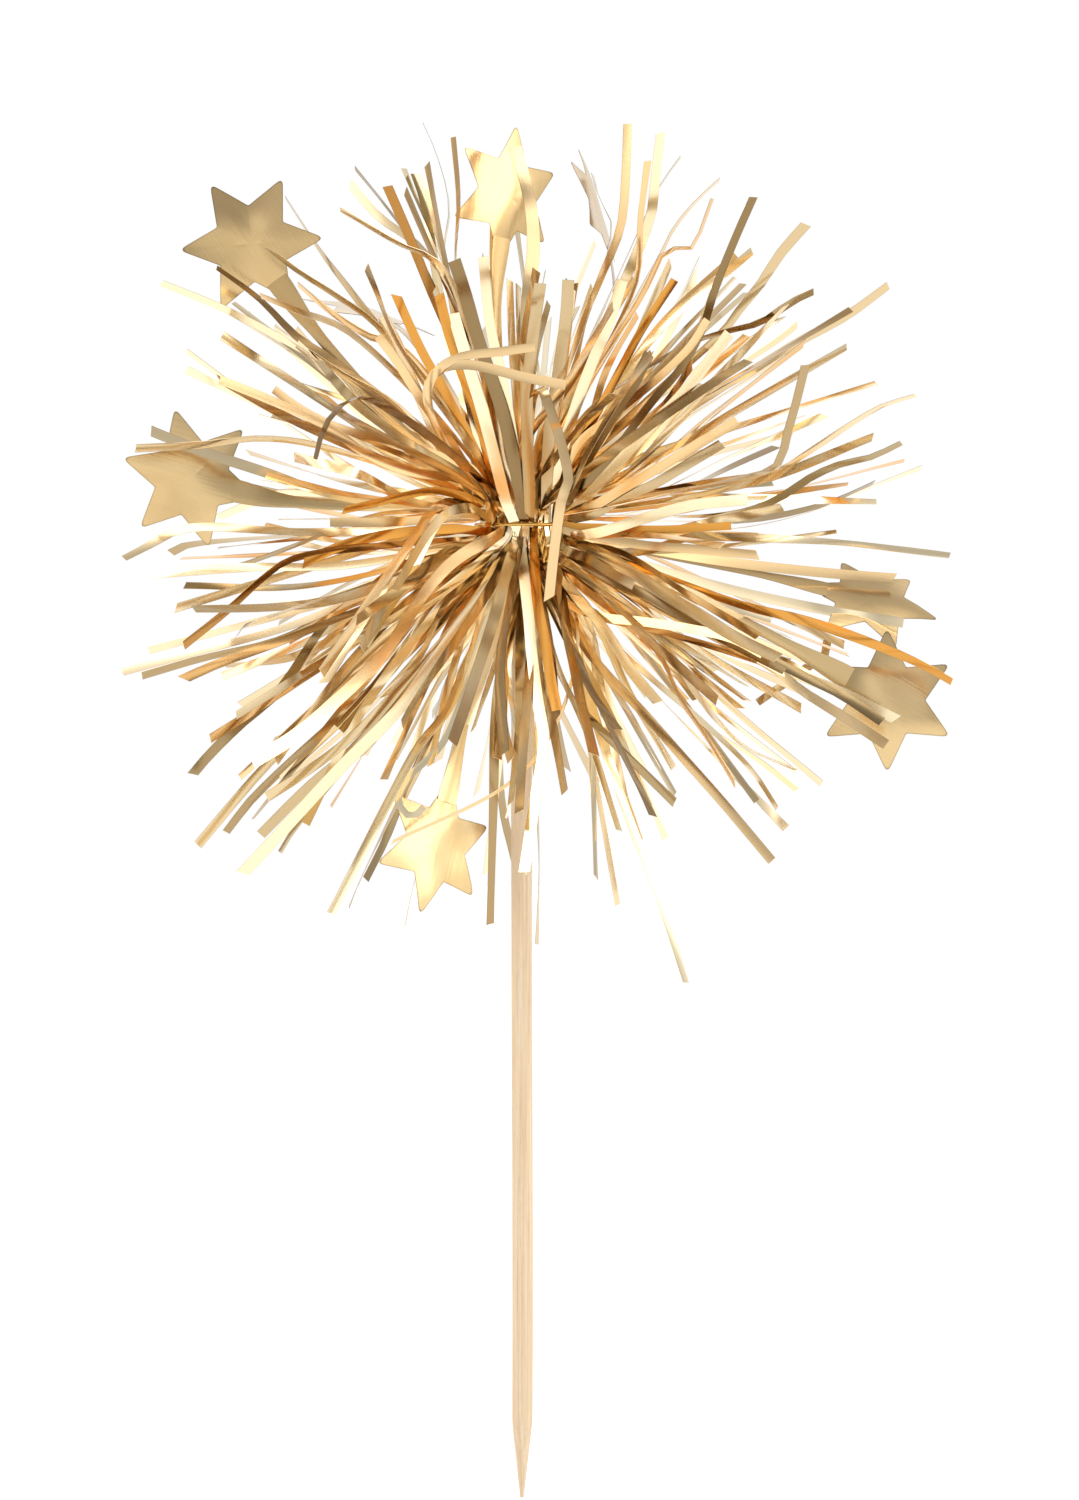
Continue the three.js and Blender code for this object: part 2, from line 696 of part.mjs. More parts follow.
// Distance from the middle of the tie to the knot's surface, at an angle above or below level
function knotReach(elevation) {
  const direction = new THREE.Vector2(Math.cos(elevation), Math.abs(Math.sin(elevation)));
  for (let n = 0; n + 1 < knotProfile.length; n++) {
    const a = new THREE.Vector2(...knotProfile[n]);
    const edge = new THREE.Vector2(...knotProfile[n + 1]).sub(a);
    const share = -a.cross(direction) / edge.cross(direction);
    if (share >= 0 && share <= 1) return a.addScaledVector(edge, share).length();
  }
  return knotHalfHeight;
}

// The knot, whole, with the bore for the pick and the wider space for the glue cap
function knotSolid() {
  const lower = knotProfile.slice(1).map(([radius, height]) => [radius, -height]);
  const outside = turned([...lower.reverse(), ...knotProfile], knotSides);
  const glueFloor = -glueDepthBelowTie - seatGap;
  const bore = turned(
    [
      [0, -knotHalfHeight - 1],
      [pickBore, -knotHalfHeight - 1],
      [pickBore, glueFloor],
      [glueBore, glueFloor],
      [glueBore, glueTop + seatGap - glueWall],
      [glueBore - glueWall, glueTop + seatGap],
      [0, glueTop + seatGap],
    ],
    knotSides,
  );
  return toSolid(outside).subtract(toSolid(bore));
}

// A quarter of space about the Z axis, short of its two sides by half the gap between slices
function quarter(facing) {
  const shape = new THREE.Shape();
  const inset = (sliceGap / 2) * Math.SQRT2;
  const far = 4 * waistRadius;
  shape.moveTo(inset, 0);
  shape.lineTo(inset + far, -far);
  shape.lineTo(inset + far, far);
  shape.closePath();
  const block = new THREE.ExtrudeGeometry(shape, { depth: 4 * knotHalfHeight, bevelEnabled: false });
  return toSolid(closed(block.translate(0, 0, -2 * knotHalfHeight).rotateZ(facing)));
}

const slices = [
  { name: "tinsel_front", facing: -Math.PI / 2 },
  { name: "tinsel_right", facing: 0 },
  { name: "tinsel_back", facing: Math.PI / 2 },
  { name: "tinsel_left", facing: Math.PI },
];

// Where a strand of a given direction is rooted. Roots keep clear of the tie, so the flattest
// strands leave the knot above or below it and lean back towards its level.
function rootOf(direction) {
  const lowest = Math.sin(rootLowestDegrees * degree);
  const height = Math.sign(direction.z) * (lowest + (1 - lowest) * Math.abs(direction.z));
  const spread = Math.sqrt((1 - height * height) / (1 - direction.z * direction.z));
  const outwards = new THREE.Vector3(direction.x * spread, direction.y * spread, height);
  return outwards.multiplyScalar(knotReach(Math.asin(height)) - strandSeat);
}

// Whether a root lies inside one slice, clear of the slots and of the bore for the pick
function hasSeat(root) {
  const margin = foilWidthAtKnot / 2 + strandGap;
  const toSlots = Math.min(Math.abs(root.x + root.y), Math.abs(root.x - root.y)) / Math.SQRT2;
  const toBore = root.z < 0 ? Math.hypot(root.x, root.y) - pickBore : Infinity;
  return toSlots - sliceGap / 2 > margin && toBore > margin;
}

// Whether a strand would hide a star, or the lower part of the pick, from the front
function hidesFront(path) {
  const samples = 8;
  return path.slice(1).some((step, n) => {
    for (let k = 0; k <= samples; k++) {
      const at = path[n].at.clone().lerp(step.at, k / samples);
      const overPick = at.y < 0 && Math.abs(at.x) < pickDiameter && at.z < -pickShownBelowTie;
      const overStar = discs.some(({ centre }) => {
        const apart = Math.hypot(at.x - centre.x, at.z - centre.z);
        return at.y < centre.y && apart < starRadius + foilWidth / 2;
      });
      if (overPick || overStar) return true;
    }
    return false;
  });
}

const seenTries = 90;
const seenDepthSearch = 15;
const seenSideSearch = 0.7;

// A strand that shows from the front. Its tip and its bend are known across and up, and its depth is
// searched for the first that is clear. side is -1 for one in front of the pick and 1 behind it.
function seenPath({ tip, bend }, side) {
  const flat = ([across, height], depth) => new THREE.Vector3(across, depth, height);
  const span = Math.hypot(...tip);
  const usual = Math.sqrt(Math.max(seenReach ** 2 - span ** 2, seenShallowest ** 2));
  for (let attempt = 0; attempt < seenTries; attempt++) {
    const loose = attempt / seenTries;
    const shift = seenDepthSearch * loose * randomBetween(-1, 1);
    const depth = side * THREE.MathUtils.clamp(usual + shift, 0, seenDeepest);
    const moved = new THREE.Vector3(randomBetween(-1, 1), 0, randomBetween(-1, 1));
    const far = flat(tip, depth).addScaledVector(moved, seenSideSearch * loose);
    const knee = bend
      ? flat(bend, (depth * Math.hypot(...bend)) / span)
      : far.clone().setLength(strandStraight);
    const path = bentPath(knee, far);
    if (path && isClear(path, strandGap)) return path;
  }
  return null;
}

// A strand at the very front, where the depth is given too
function frontPath({ tip, bend }) {
  for (let attempt = 0; attempt < seenTries; attempt++) {
    const loose = (3 * seenSideSearch * attempt) / seenTries;
    const moved = vector([0, 1, 2].map(() => loose * randomBetween(-1, 1)));
    const path = bentPath(vector(bend).add(moved), vector(tip).add(moved));
    if (path && isClear(path, strandGap)) return path;
  }
  return null;
}

// From the knot by way of a knee to a tip, or null where the knot has no seat for it
function bentPath(knee, tip) {
  const direction = knee.clone().normalize();
  const root = rootOf(direction);
  if (!hasSeat(root)) return null;
  const across = direction.clone().cross(front);
  if (across.length() < 0.3) across.crossVectors(direction, up);
  across.normalize().applyAxisAngle(direction, randomBetween(-1, 1));
  return [
    { at: root, across, width: foilWidthAtKnot },
    { at: knee, across, width: foilWidth },
    { at: tip, across, width: foilWidth },
  ];
}

// One strand: straight out of the knot to its knee, then bent. Null where it would cross something.
function strandPath(direction, tips) {
  const root = rootOf(direction);
  if (!hasSeat(root)) return null;
  const roll = randomBetween(0, Math.PI);
  const level = direction.clone().cross(up).normalize();
  const across = level.clone().applyAxisAngle(direction, roll);
  const tries = 14;
  for (let attempt = 0; attempt < tries; attempt++) {
    const reach = randomBetween(strandShortest, strandLongest);
    const knee = direction.clone().multiplyScalar(strandStraight);
    const stiff = 1 - attempt / (tries - 1);
    const bend = strandBendDegrees * degree * stiff * Math.sqrt(random());
    const axis = level.clone().applyAxisAngle(direction, randomBetween(0, 2 * Math.PI));
    const bent = direction.clone().applyAxisAngle(axis, bend);
    const tip = knee.clone().addScaledVector(bent, reach - strandStraight);
    const path = [
      { at: root, across, width: foilWidthAtKnot },
      { at: knee, across, width: foilWidth },
      { at: tip, across, width: foilWidth },
    ];
    const crowded = tips.some((placed) => placed.distanceTo(tip) < strandTipsApart);
    if (!crowded && !hidesFront(path) && isClear(path, strandGap)) return path;
  }
  return null;
}

// First the strands that show from the front, then the rest, whose directions lie evenly over a ball
function placeStrands() {
  const golden = Math.PI * (3 - Math.sqrt(5));
  const strands = [];
  const add = (path) => {
    if (path) strands.push(keep(path));
  };
  frontStrips.forEach((entry) => add(frontPath(entry)));
  nearStrips.forEach((entry) => add(seenPath(entry, -1)));
  farStrips.forEach((entry) => add(seenPath(entry, 1)));
  const seen = frontStrips.length + nearStrips.length + farStrips.length;
  console.log(`tinsel: ${strands.length} of ${seen} seen strands`);
  const tips = strands.map((path) => path[path.length - 1].at);
  for (let n = 0; n < strandRounds * strandCandidates; n++) {
    const round = Math.floor(n / strandCandidates);
    const step = (n % strandCandidates) + round / strandRounds;
    const height = 1 - (2 * step + 1) / (strandCandidates + 1);
    const direction = besideTie(step * golden, Math.sqrt(1 - height * height), height);
    if (direction.dot(front) > mostForward) continue;
    const path = strandPath(direction, tips);
    add(path);
    if (path) tips.push(path[path.length - 1].at);
  }
  return strands;
}

function sliceOf(path) {
  const root = path[0].at;
  const angle = Math.atan2(root.y, root.x);
  return slices.findIndex(({ facing }) => Math.cos(angle - facing) > Math.SQRT1_2);
}

const finishes = {
  wood: { color: "#e2c79f", roughness: 0.7, metalness: 0 },
  foil: { color: "#c99a52", roughness: 0.3, metalness: 1 },
  wire: { color: "#c8b28a", roughness: 0.3, metalness: 1 },
  glue: { color: "#e9e4d2", roughness: 0.4, metalness: 0 },
};

const topper = new THREE.Group();
const burst = new THREE.Group();
burst.position.z = tieHeight;
topper.add(burst);

function addPiece(parent, name, geometry, finish) {
  const material = new THREE.MeshStandardMaterial(finishes[finish]);
  const mesh = new THREE.Mesh(geometry, material);
  mesh.name = name;
  parent.add(mesh);
}

const numbered = (name, n) => `${name}_${String(n + 1).padStart(2, "0")}`;

// Pick
const pickProfile = [
  [0, 0],
  [pickTipDiameter / 2, 0],
  [pickRadius * 0.62, pickPointLength / 2],
  [pickRadius, pickPointLength],
  [pickRadius, pickLength - pickHeadChamfer],
  [pickRadius - pickHeadChamfer, pickLength],
  [0, pickLength],
];
addPiece(topper, "pick", turned(pickProfile, pickSides), "wood");
keep([
  { at: new THREE.Vector3(0, 0, -tieHeight), width: pickDiameter },
  { at: new THREE.Vector3(0, 0, 0), width: pickDiameter },
]);

// Glue cap, open below for the pick
const glueProfile = [
  [pickBore, -glueDepthBelowTie],
  [glueRadius, -glueDepthBelowTie],
  [glueRadius, glueTop - glueWall],
  [glueRadius - glueWall, glueTop],
  [0, glueTop],
  [0, glueTop - glueWall],
  [pickBore, glueTop - glueWall],
  [pickBore, -glueDepthBelowTie],
];
addPiece(burst, "glue_cap", turned(glueProfile, pickSides), "glue");

// Tie wire
const wirePoints = tieWirePoints();
const wireSection = new THREE.Shape();
for (let n = 0; n < wireSides; n++) {
  const turn = (n * 2 * Math.PI) / wireSides;
  const corner = [wireRadius * Math.cos(turn), wireRadius * Math.sin(turn)];
  if (n === 0) wireSection.moveTo(...corner);
  else wireSection.lineTo(...corner);
}
const wireCurve = new THREE.CatmullRomCurve3(wirePoints);
const wireGeometry = new THREE.ExtrudeGeometry(wireSection, {
  steps: 54,
  extrudePath: wireCurve,
  bevelEnabled: false,
});
addPiece(burst, "tie_wire", closed(wireGeometry), "wire");
keep(wireCurve.getSpacedPoints(60).map((at) => ({ at, width: wireDiameter })));
const wireGap = leastGapToItself(wireCurve.getSpacedPoints(400), wireDiameter);
console.log(`tie_wire: least gap to itself ${wireGap.toFixed(2)} mm`);

// Stars
stars.forEach((entry, n) => {
  const made = starPath(entry);
  matchHands(made);
  addPiece(burst, numbered("star_strip", n), starGeometry(made.star, made.path), "foil");
  const foldDepth = starRadius * Math.tan(starFoldDegrees * degree);
  const { centre, facing } = made.star;
  discs.push({ centre, facing, radius: starRadius, depth: foldDepth + foilThickness });
  keep(made.path);
});

// Single strips
singles.forEach((entry, n) => {
  const path = keep(place(singlePath(entry), singleTries, strandGap));
  addPiece(burst, numbered("strip", n), foilAlong(path, flatSection), "foil");
});

// The burst itself, in four slices of the knot with their strands
const strands = placeStrands();
console.log(`tinsel: ${strands.length} strands`);
const knot = knotSolid();
slices.forEach(({ name, facing }, n) => {
  const own = strands.filter((path) => sliceOf(path) === n);
  const slice = knot.intersect(quarter(facing));
  const foils = own.map((path) => toSolid(foilAlong(path, creasedSection)));
  const solid = foils.reduce((sum, foil) => sum.add(foil), slice);
  addPiece(burst, name, toGeometry(solid), "foil");
});

export default topper;
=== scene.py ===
import math
import random
import bpy
import numpy as np
from mathutils import Matrix


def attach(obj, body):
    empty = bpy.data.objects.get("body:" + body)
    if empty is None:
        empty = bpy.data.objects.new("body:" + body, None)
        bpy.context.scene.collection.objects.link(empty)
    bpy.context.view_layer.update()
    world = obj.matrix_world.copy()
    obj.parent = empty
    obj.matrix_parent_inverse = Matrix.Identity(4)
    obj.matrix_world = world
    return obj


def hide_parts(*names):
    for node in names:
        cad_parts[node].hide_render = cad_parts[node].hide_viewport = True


# A cupcake topper: a ball of gold foil strips and six-pointed stars, tied round the top of a wooden pick.
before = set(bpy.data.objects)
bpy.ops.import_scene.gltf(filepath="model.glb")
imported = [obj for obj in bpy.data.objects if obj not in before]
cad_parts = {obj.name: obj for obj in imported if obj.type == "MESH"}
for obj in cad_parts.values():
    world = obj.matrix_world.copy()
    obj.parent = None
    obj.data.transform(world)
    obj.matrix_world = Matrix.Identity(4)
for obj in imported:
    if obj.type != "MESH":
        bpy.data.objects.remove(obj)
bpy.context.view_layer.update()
print("frame loaded:", len(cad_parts), "nodes")

mm = 0.001
burst = {
    "tieHeight": 112.0,     # middle of the burst above the point of the pick
    "waistRadius": 4.7,     # outermost strips where the wire holds them
    "coreRadius": 1.9,      # innermost strips, just clear of the glue
    "reach": 46.0,          # from the tie to the tip of a usual strip
    "deepest": 40.0,        # no strip seen in front comes nearer or goes farther back than this
    "knotReach": 5.6,       # where strips leave the knot
    "lowestLeave": 8.0,     # degrees above or below the tie's level that a level strip may start with
    "places": 21,           # round the outside of the tie
    "foil": 0.045,          # drawn thickness of the film
    "slit": 1.25,           # width of a strip
    "seed": 20,
}
tie = np.array([0.0, 0.0, burst["tieHeight"]])
towardsCamera = np.array([0.0, -1.0, 0.0])
random.seed(burst["seed"])

# The room that stands round the topper
studio = {
    "floorSize": 9.0,
    "floorColour": "#F4F2EE",
    "floorLift": 0.5,        # added to the floor's own shade where the camera sees it, so that it reads white
    "roomGlow": 0.76,        # light that comes from all round
    # how bright the room shows in the foil, from the white backdrop round to the room behind the camera
    "roomInFoil": [(0.0, 0.52), (0.3, 0.5), (0.42, 0.56), (0.5, 0.95), (0.56, 1.0), (0.62, 0.52), (0.69, 0.34), (0.79, 0.32), (0.9, 0.37), (0.965, 0.36), (1.0, 0.5)],
    "roomPeak": 1.9,         # brightest part of the room, beside the topper
    "floorInFoil": 1.3,      # how bright the floor shows in the foil
    "patches": (0.6, 1.4), # darker and lighter parts of the room all round
}

softboxes = {
    "rightSoftbox": {"place": (0.85, -0.35, 0.35), "size": (0.45, 0.9), "radiance": 2.6},
    "leftSoftbox": {"place": (-0.85, -0.35, 0.35), "size": (0.4, 0.8), "radiance": 2.2},
    "topSoftbox": {"place": (0.05, -0.15, 1.0), "size": (0.7, 0.4), "radiance": 2.0},
}


# Materials

def toLinear(hexColour):
    parts = [int(hexColour[i:i + 2], 16) / 255 for i in (1, 3, 5)]
    return [c / 12.92 if c <= 0.04045 else ((c + 0.055) / 1.055) ** 2.4 for c in parts] + [1.0]


def addNode(tree, kind, settings={}, values={}, links={}):
    node = tree.nodes.new(kind)
    for name, value in settings.items():
        setattr(node, name, value)
    for name, value in values.items():
        node.inputs[name].default_value = value
    for name, socket in links.items():
        tree.links.new(socket, node.inputs[name])
    return node


def newMaterial(name):
    material = bpy.data.materials.new(name)
    material.use_nodes = True
    material.node_tree.nodes.clear()
    return material, material.node_tree


def fillRamp(node, stops):
    ramp = node.color_ramp
    while len(ramp.elements) < len(stops):
        ramp.elements.new(0.5)
    for element, (place, colour) in zip(ramp.elements, stops):
        element.position = place
        element.color = toLinear(colour) if isinstance(colour, str) else (colour, colour, colour, 1)


# Metallised polyester film, slit into strips: champagne gold lacquer over aluminium.
# The rolling of the film leaves faint streaks along each strip, which turn the gloss into satin.
def makeFoil(name, look):
    material, tree = newMaterial(name)
    along = addNode(tree, "ShaderNodeAttribute", {"attribute_name": "along"})
    across = addNode(tree, "ShaderNodeAttribute", {"attribute_name": "across"})
    tone = addNode(tree, "ShaderNodeAttribute", {"attribute_name": "tone"})
    stretched = addNode(tree, "ShaderNodeMath", {"operation": "MULTIPLY"}, {1: look["streakAcross"] / look["streakLength"]},
                        {0: along.outputs["Fac"]})
    apart = addNode(tree, "ShaderNodeMath", {"operation": "MULTIPLY"}, {1: 70.0}, {0: tone.outputs["Fac"]})
    place = addNode(tree, "ShaderNodeCombineXYZ", {}, {},
                    {"X": across.outputs["Fac"], "Y": stretched.outputs["Value"], "Z": apart.outputs["Value"]})
    streaks = addNode(tree, "ShaderNodeTexNoise", {}, {"Scale": 1 / look["streakAcross"], "Detail": 1.0},
                      {"Vector": place.outputs["Vector"]})
    cloud = addNode(tree, "ShaderNodeTexNoise", {}, {"Scale": 0.22, "Detail": 2.0}, {"Vector": place.outputs["Vector"]})
    # Painted shade and inter-reflection: towards the tie, where the strips lie close, the tint is drawn deeper and more
    # orange
    paintedDeepening = addNode(tree, "ShaderNodeMapRange", {"interpolation_type": "SMOOTHSTEP"},
                    {"From Min": 5.0, "From Max": 30.0, "To Min": look["paintedDeepeningAtTie"], "To Max": 1.0}, {"Value": along.outputs["Fac"]})
    toneWithDeepening = addNode(tree, "ShaderNodeMath", {"operation": "MULTIPLY"}, {}, {0: tone.outputs["Fac"], 1: paintedDeepening.outputs["Result"]})
    tint = addNode(tree, "ShaderNodeValToRGB", {}, {}, {"Fac": toneWithDeepening.outputs["Value"]})
    fillRamp(tint, look["tints"])
    brushed = addNode(tree, "ShaderNodeMapRange", {}, {"To Min": 1 - look["brushed"], "To Max": 1 + look["brushed"]},
                      {"Value": streaks.outputs["Fac"]})
    # Painted shade: strips and stars darken along their edges, standing in for the thin shadows where strips overlap
    rim = addNode(tree, "ShaderNodeAttribute", {"attribute_name": "rim"})
    paintedEdgeShade = addNode(tree, "ShaderNodeMapRange", {}, {"From Min": look["edgeShadeFrom"], "From Max": 1.0, "To Min": 1.0, "To Max": look["edgeShadeLevel"]},
                  {"Value": rim.outputs["Fac"]})
    edged = addNode(tree, "ShaderNodeMath", {"operation": "MULTIPLY"}, {},
                    {0: brushed.outputs["Result"], 1: paintedEdgeShade.outputs["Result"]})
    paintedShade = addNode(tree, "ShaderNodeAttribute", {"attribute_name": "paintedShade"})
    # Painted shade: each strip's colour is darkened, taking more of the blue and green than of the red
    green = addNode(tree, "ShaderNodeMath", {"operation": "POWER"}, {1: 1.15}, {0: paintedShade.outputs["Fac"]})
    blue = addNode(tree, "ShaderNodeMath", {"operation": "POWER"}, {1: 1.42}, {0: paintedShade.outputs["Fac"]})
    paintedShadeByChannel = addNode(tree, "ShaderNodeCombineXYZ", {}, {},
                     {"X": paintedShade.outputs["Fac"], "Y": green.outputs["Value"], "Z": blue.outputs["Value"]})
    warm = addNode(tree, "ShaderNodeVectorMath", {"operation": "MULTIPLY"}, {}, {0: tint.outputs["Color"], 1: paintedShadeByChannel.outputs["Vector"]})
    colour = addNode(tree, "ShaderNodeVectorMath", {"operation": "SCALE"}, {},
                     {"Vector": warm.outputs["Vector"], "Scale": edged.outputs["Value"]})
    rough = addNode(tree, "ShaderNodeMapRange", {}, {"From Min": 0.3, "From Max": 0.7, "To Min": look["smoothest"],
                    "To Max": look["roughest"]}, {"Value": cloud.outputs["Fac"]})
    bump = addNode(tree, "ShaderNodeBump", {}, {"Strength": look["bump"], "Distance": look["streakDepth"] * mm},
                   {"Height": streaks.outputs["Fac"]})
    film = addNode(tree, "ShaderNodeBsdfPrincipled", {}, {"Metallic": 1.0}, {
        "Base Color": colour.outputs["Vector"], "Roughness": rough.outputs["Result"], "Normal": bump.outputs["Normal"]})
    addNode(tree, "ShaderNodeOutputMaterial", {}, {}, {"Surface": film.outputs["BSDF"]})
    return material


stripFoil = makeFoil("slitGoldFilm", {
    "tints": [(0.0, "#E2A450"), (0.14, "#F3CF98"), (0.35, "#F5DFB8"), (1.0, "#F3E3BF")],
    "streakAcross": 0.34, "streakLength": 14.0, "streakDepth": 0.006, "bump": 0.08,   # mm
    "smoothest": 0.1, "roughest": 0.2, "brushed": 0.03, "edgeShadeFrom": 0.84, "edgeShadeLevel": 0.8, "paintedDeepeningAtTie": 0.72,
})
starFoil = makeFoil("dieCutGoldFilm", {
    "tints": [(0.0, "#C8AA79"), (1.0, "#CFB587")],
    "streakAcross": 0.3, "streakLength": 9.0, "streakDepth": 0.012, "bump": 0.5,
    "smoothest": 0.16, "roughest": 0.24, "brushed": 0.04, "edgeShadeFrom": 0.96, "edgeShadeLevel": 0.45, "paintedDeepeningAtTie": 1.0,
})


# Birch, turned to a stick and left bare: pale, with fine pores and faint grain lines along its length.
def makeBirch():
    material, tree = newMaterial("bareBirch")
    look = {"grainAcross": 0.28, "grainLength": 16.0, "poreAcross": 0.09, "poreLength": 2.2}   # mm
    where = addNode(tree, "ShaderNodeTexCoord")
    grainPlace = addNode(tree, "ShaderNodeMapping", {}, {"Scale": (1 / (look["grainAcross"] * mm), 1 / (look["grainAcross"] * mm),
                         1 / (look["grainLength"] * mm))}, {"Vector": where.outputs["Object"]})
    grain = addNode(tree, "ShaderNodeTexNoise", {}, {"Scale": 1.0, "Detail": 3.0}, {"Vector": grainPlace.outputs["Vector"]})
    porePlace = addNode(tree, "ShaderNodeMapping", {}, {"Scale": (1 / (look["poreAcross"] * mm), 1 / (look["poreAcross"] * mm),
                        1 / (look["poreLength"] * mm))}, {"Vector": where.outputs["Object"]})
    pores = addNode(tree, "ShaderNodeTexNoise", {}, {"Scale": 1.0, "Detail": 2.0}, {"Vector": porePlace.outputs["Vector"]})
    colour = addNode(tree, "ShaderNodeValToRGB", {}, {}, {"Fac": grain.outputs["Fac"]})
    fillRamp(colour, [(0.3, "#E2C29C"), (0.5, "#EDD2AF"), (0.72, "#F3DFC2")])
    poreShade = addNode(tree, "ShaderNodeMapRange", {}, {"From Min": 0.28, "From Max": 0.45, "To Min": 0.86, "To Max": 1.0},
                        {"Value": pores.outputs["Fac"]})
    toned = addNode(tree, "ShaderNodeVectorMath", {"operation": "SCALE"}, {},
                    {"Vector": colour.outputs["Color"], "Scale": poreShade.outputs["Result"]})
    bump = addNode(tree, "ShaderNodeBump", {}, {"Strength": 0.5, "Distance": 0.03 * mm}, {"Height": pores.outputs["Fac"]})
    wood = addNode(tree, "ShaderNodeBsdfPrincipled", {}, {"Roughness": 0.62, "IOR": 1.5}, {
        "Base Color": toned.outputs["Vector"], "Normal": bump.outputs["Normal"]})
    addNode(tree, "ShaderNodeOutputMaterial", {}, {}, {"Surface": wood.outputs["BSDF"]})
    return material


# Hot-melt glue, squeezed on warm: milky, slightly uneven gloss.
def makeGlue():
    material, tree = newMaterial("hotMeltGlue")
    where = addNode(tree, "ShaderNodeTexCoord")
    lumps = addNode(tree, "ShaderNodeTexNoise", {}, {"Scale": 1 / (1.2 * mm), "Detail": 2.0}, {"Vector": where.outputs["Object"]})
    colour = addNode(tree, "ShaderNodeValToRGB", {}, {}, {"Fac": lumps.outputs["Fac"]})
    fillRamp(colour, [(0.35, "#DCCBA6"), (0.65, "#EBDFC4")])
    bump = addNode(tree, "ShaderNodeBump", {}, {"Strength": 0.4, "Distance": 0.1 * mm}, {"Height": lumps.outputs["Fac"]})
    glue = addNode(tree, "ShaderNodeBsdfPrincipled", {}, {"Roughness": 0.3, "IOR": 1.49, "Subsurface Weight": 0.3,
                   "Subsurface Scale": 0.5 * mm}, {"Base Color": colour.outputs["Color"], "Normal": bump.outputs["Normal"]})
    addNode(tree, "ShaderNodeOutputMaterial", {}, {}, {"Surface": glue.outputs["BSDF"]})
    return material


# Drawn brass wire, soft and bright, with faint die marks along it.
def makeWire():
    material, tree = newMaterial("drawnBrassWire")
    along = addNode(tree, "ShaderNodeAttribute", {"attribute_name": "along"})
    across = addNode(tree, "ShaderNodeAttribute", {"attribute_name": "across"})
    slow = addNode(tree, "ShaderNodeMath", {"operation": "MULTIPLY"}, {1: 0.02}, {0: along.outputs["Fac"]})
    place = addNode(tree, "ShaderNodeCombineXYZ", {}, {}, {"X": across.outputs["Fac"], "Y": slow.outputs["Value"]})
    marks = addNode(tree, "ShaderNodeTexNoise", {}, {"Scale": 12.0, "Detail": 2.0}, {"Vector": place.outputs["Vector"]})
    colour = addNode(tree, "ShaderNodeValToRGB", {}, {}, {"Fac": marks.outputs["Fac"]})
    fillRamp(colour, [(0.3, "#C99A4C"), (0.7, "#E2B968")])
    bump = addNode(tree, "ShaderNodeBump", {}, {"Strength": 0.3, "Distance": 0.02 * mm}, {"Height": marks.outputs["Fac"]})
    wire = addNode(tree, "ShaderNodeBsdfPrincipled", {}, {"Metallic": 1.0, "Roughness": 0.26},
                   {"Base Color": colour.outputs["Color"], "Normal": bump.outputs["Normal"]})
    addNode(tree, "ShaderNodeOutputMaterial", {}, {}, {"Surface": wire.outputs["BSDF"]})
    return material


birch = makeBirch()
glueFinish = makeGlue()
wireFinish = makeWire()
print("materials made")


# Curves and strips

def unit(v):
    return v / max(np.linalg.norm(v), 1e-9)


def smoothStep(x):
    x = min(max(x, 0.0), 1.0)
    return x * x * (3 - 2 * x)


# A smooth walk through the points, closer together towards its first end.
def smoothLine(points, steps, crowding=1.35):
    p = np.array(points, float)
    p = np.vstack([2 * p[0] - p[1], p, 2 * p[-1] - p[-2]])
    gaps = np.sqrt(np.linalg.norm(np.diff(p, axis=0), axis=1)) + 1e-6
    knots = np.concatenate([[0.0], np.cumsum(gaps)])
    fine = [p[1:2]]
    for i in range(1, len(p) - 2):
        a, b, c, d = knots[i - 1:i + 3]
        t = np.linspace(b, c, 13)[1:, None]
        e = ((b - t) * p[i - 1] + (t - a) * p[i]) / (b - a)
        f = ((c - t) * p[i] + (t - b) * p[i + 1]) / (c - b)
        g = ((d - t) * p[i + 1] + (t - c) * p[i + 2]) / (d - c)
        h = ((c - t) * e + (t - a) * f) / (c - a)
        k = ((d - t) * f + (t - b) * g) / (d - b)
        fine.append(((c - t) * h + (t - b) * k) / (c - b))
    fine = np.vstack(fine)
    walked = np.concatenate([[0.0], np.cumsum(np.linalg.norm(np.diff(fine, axis=0), axis=1))])
    wanted = walked[-1] * np.linspace(0, 1, steps) ** crowding
    return np.stack([np.interp(wanted, walked, fine[:, k]) for k in range(3)], 1), wanted


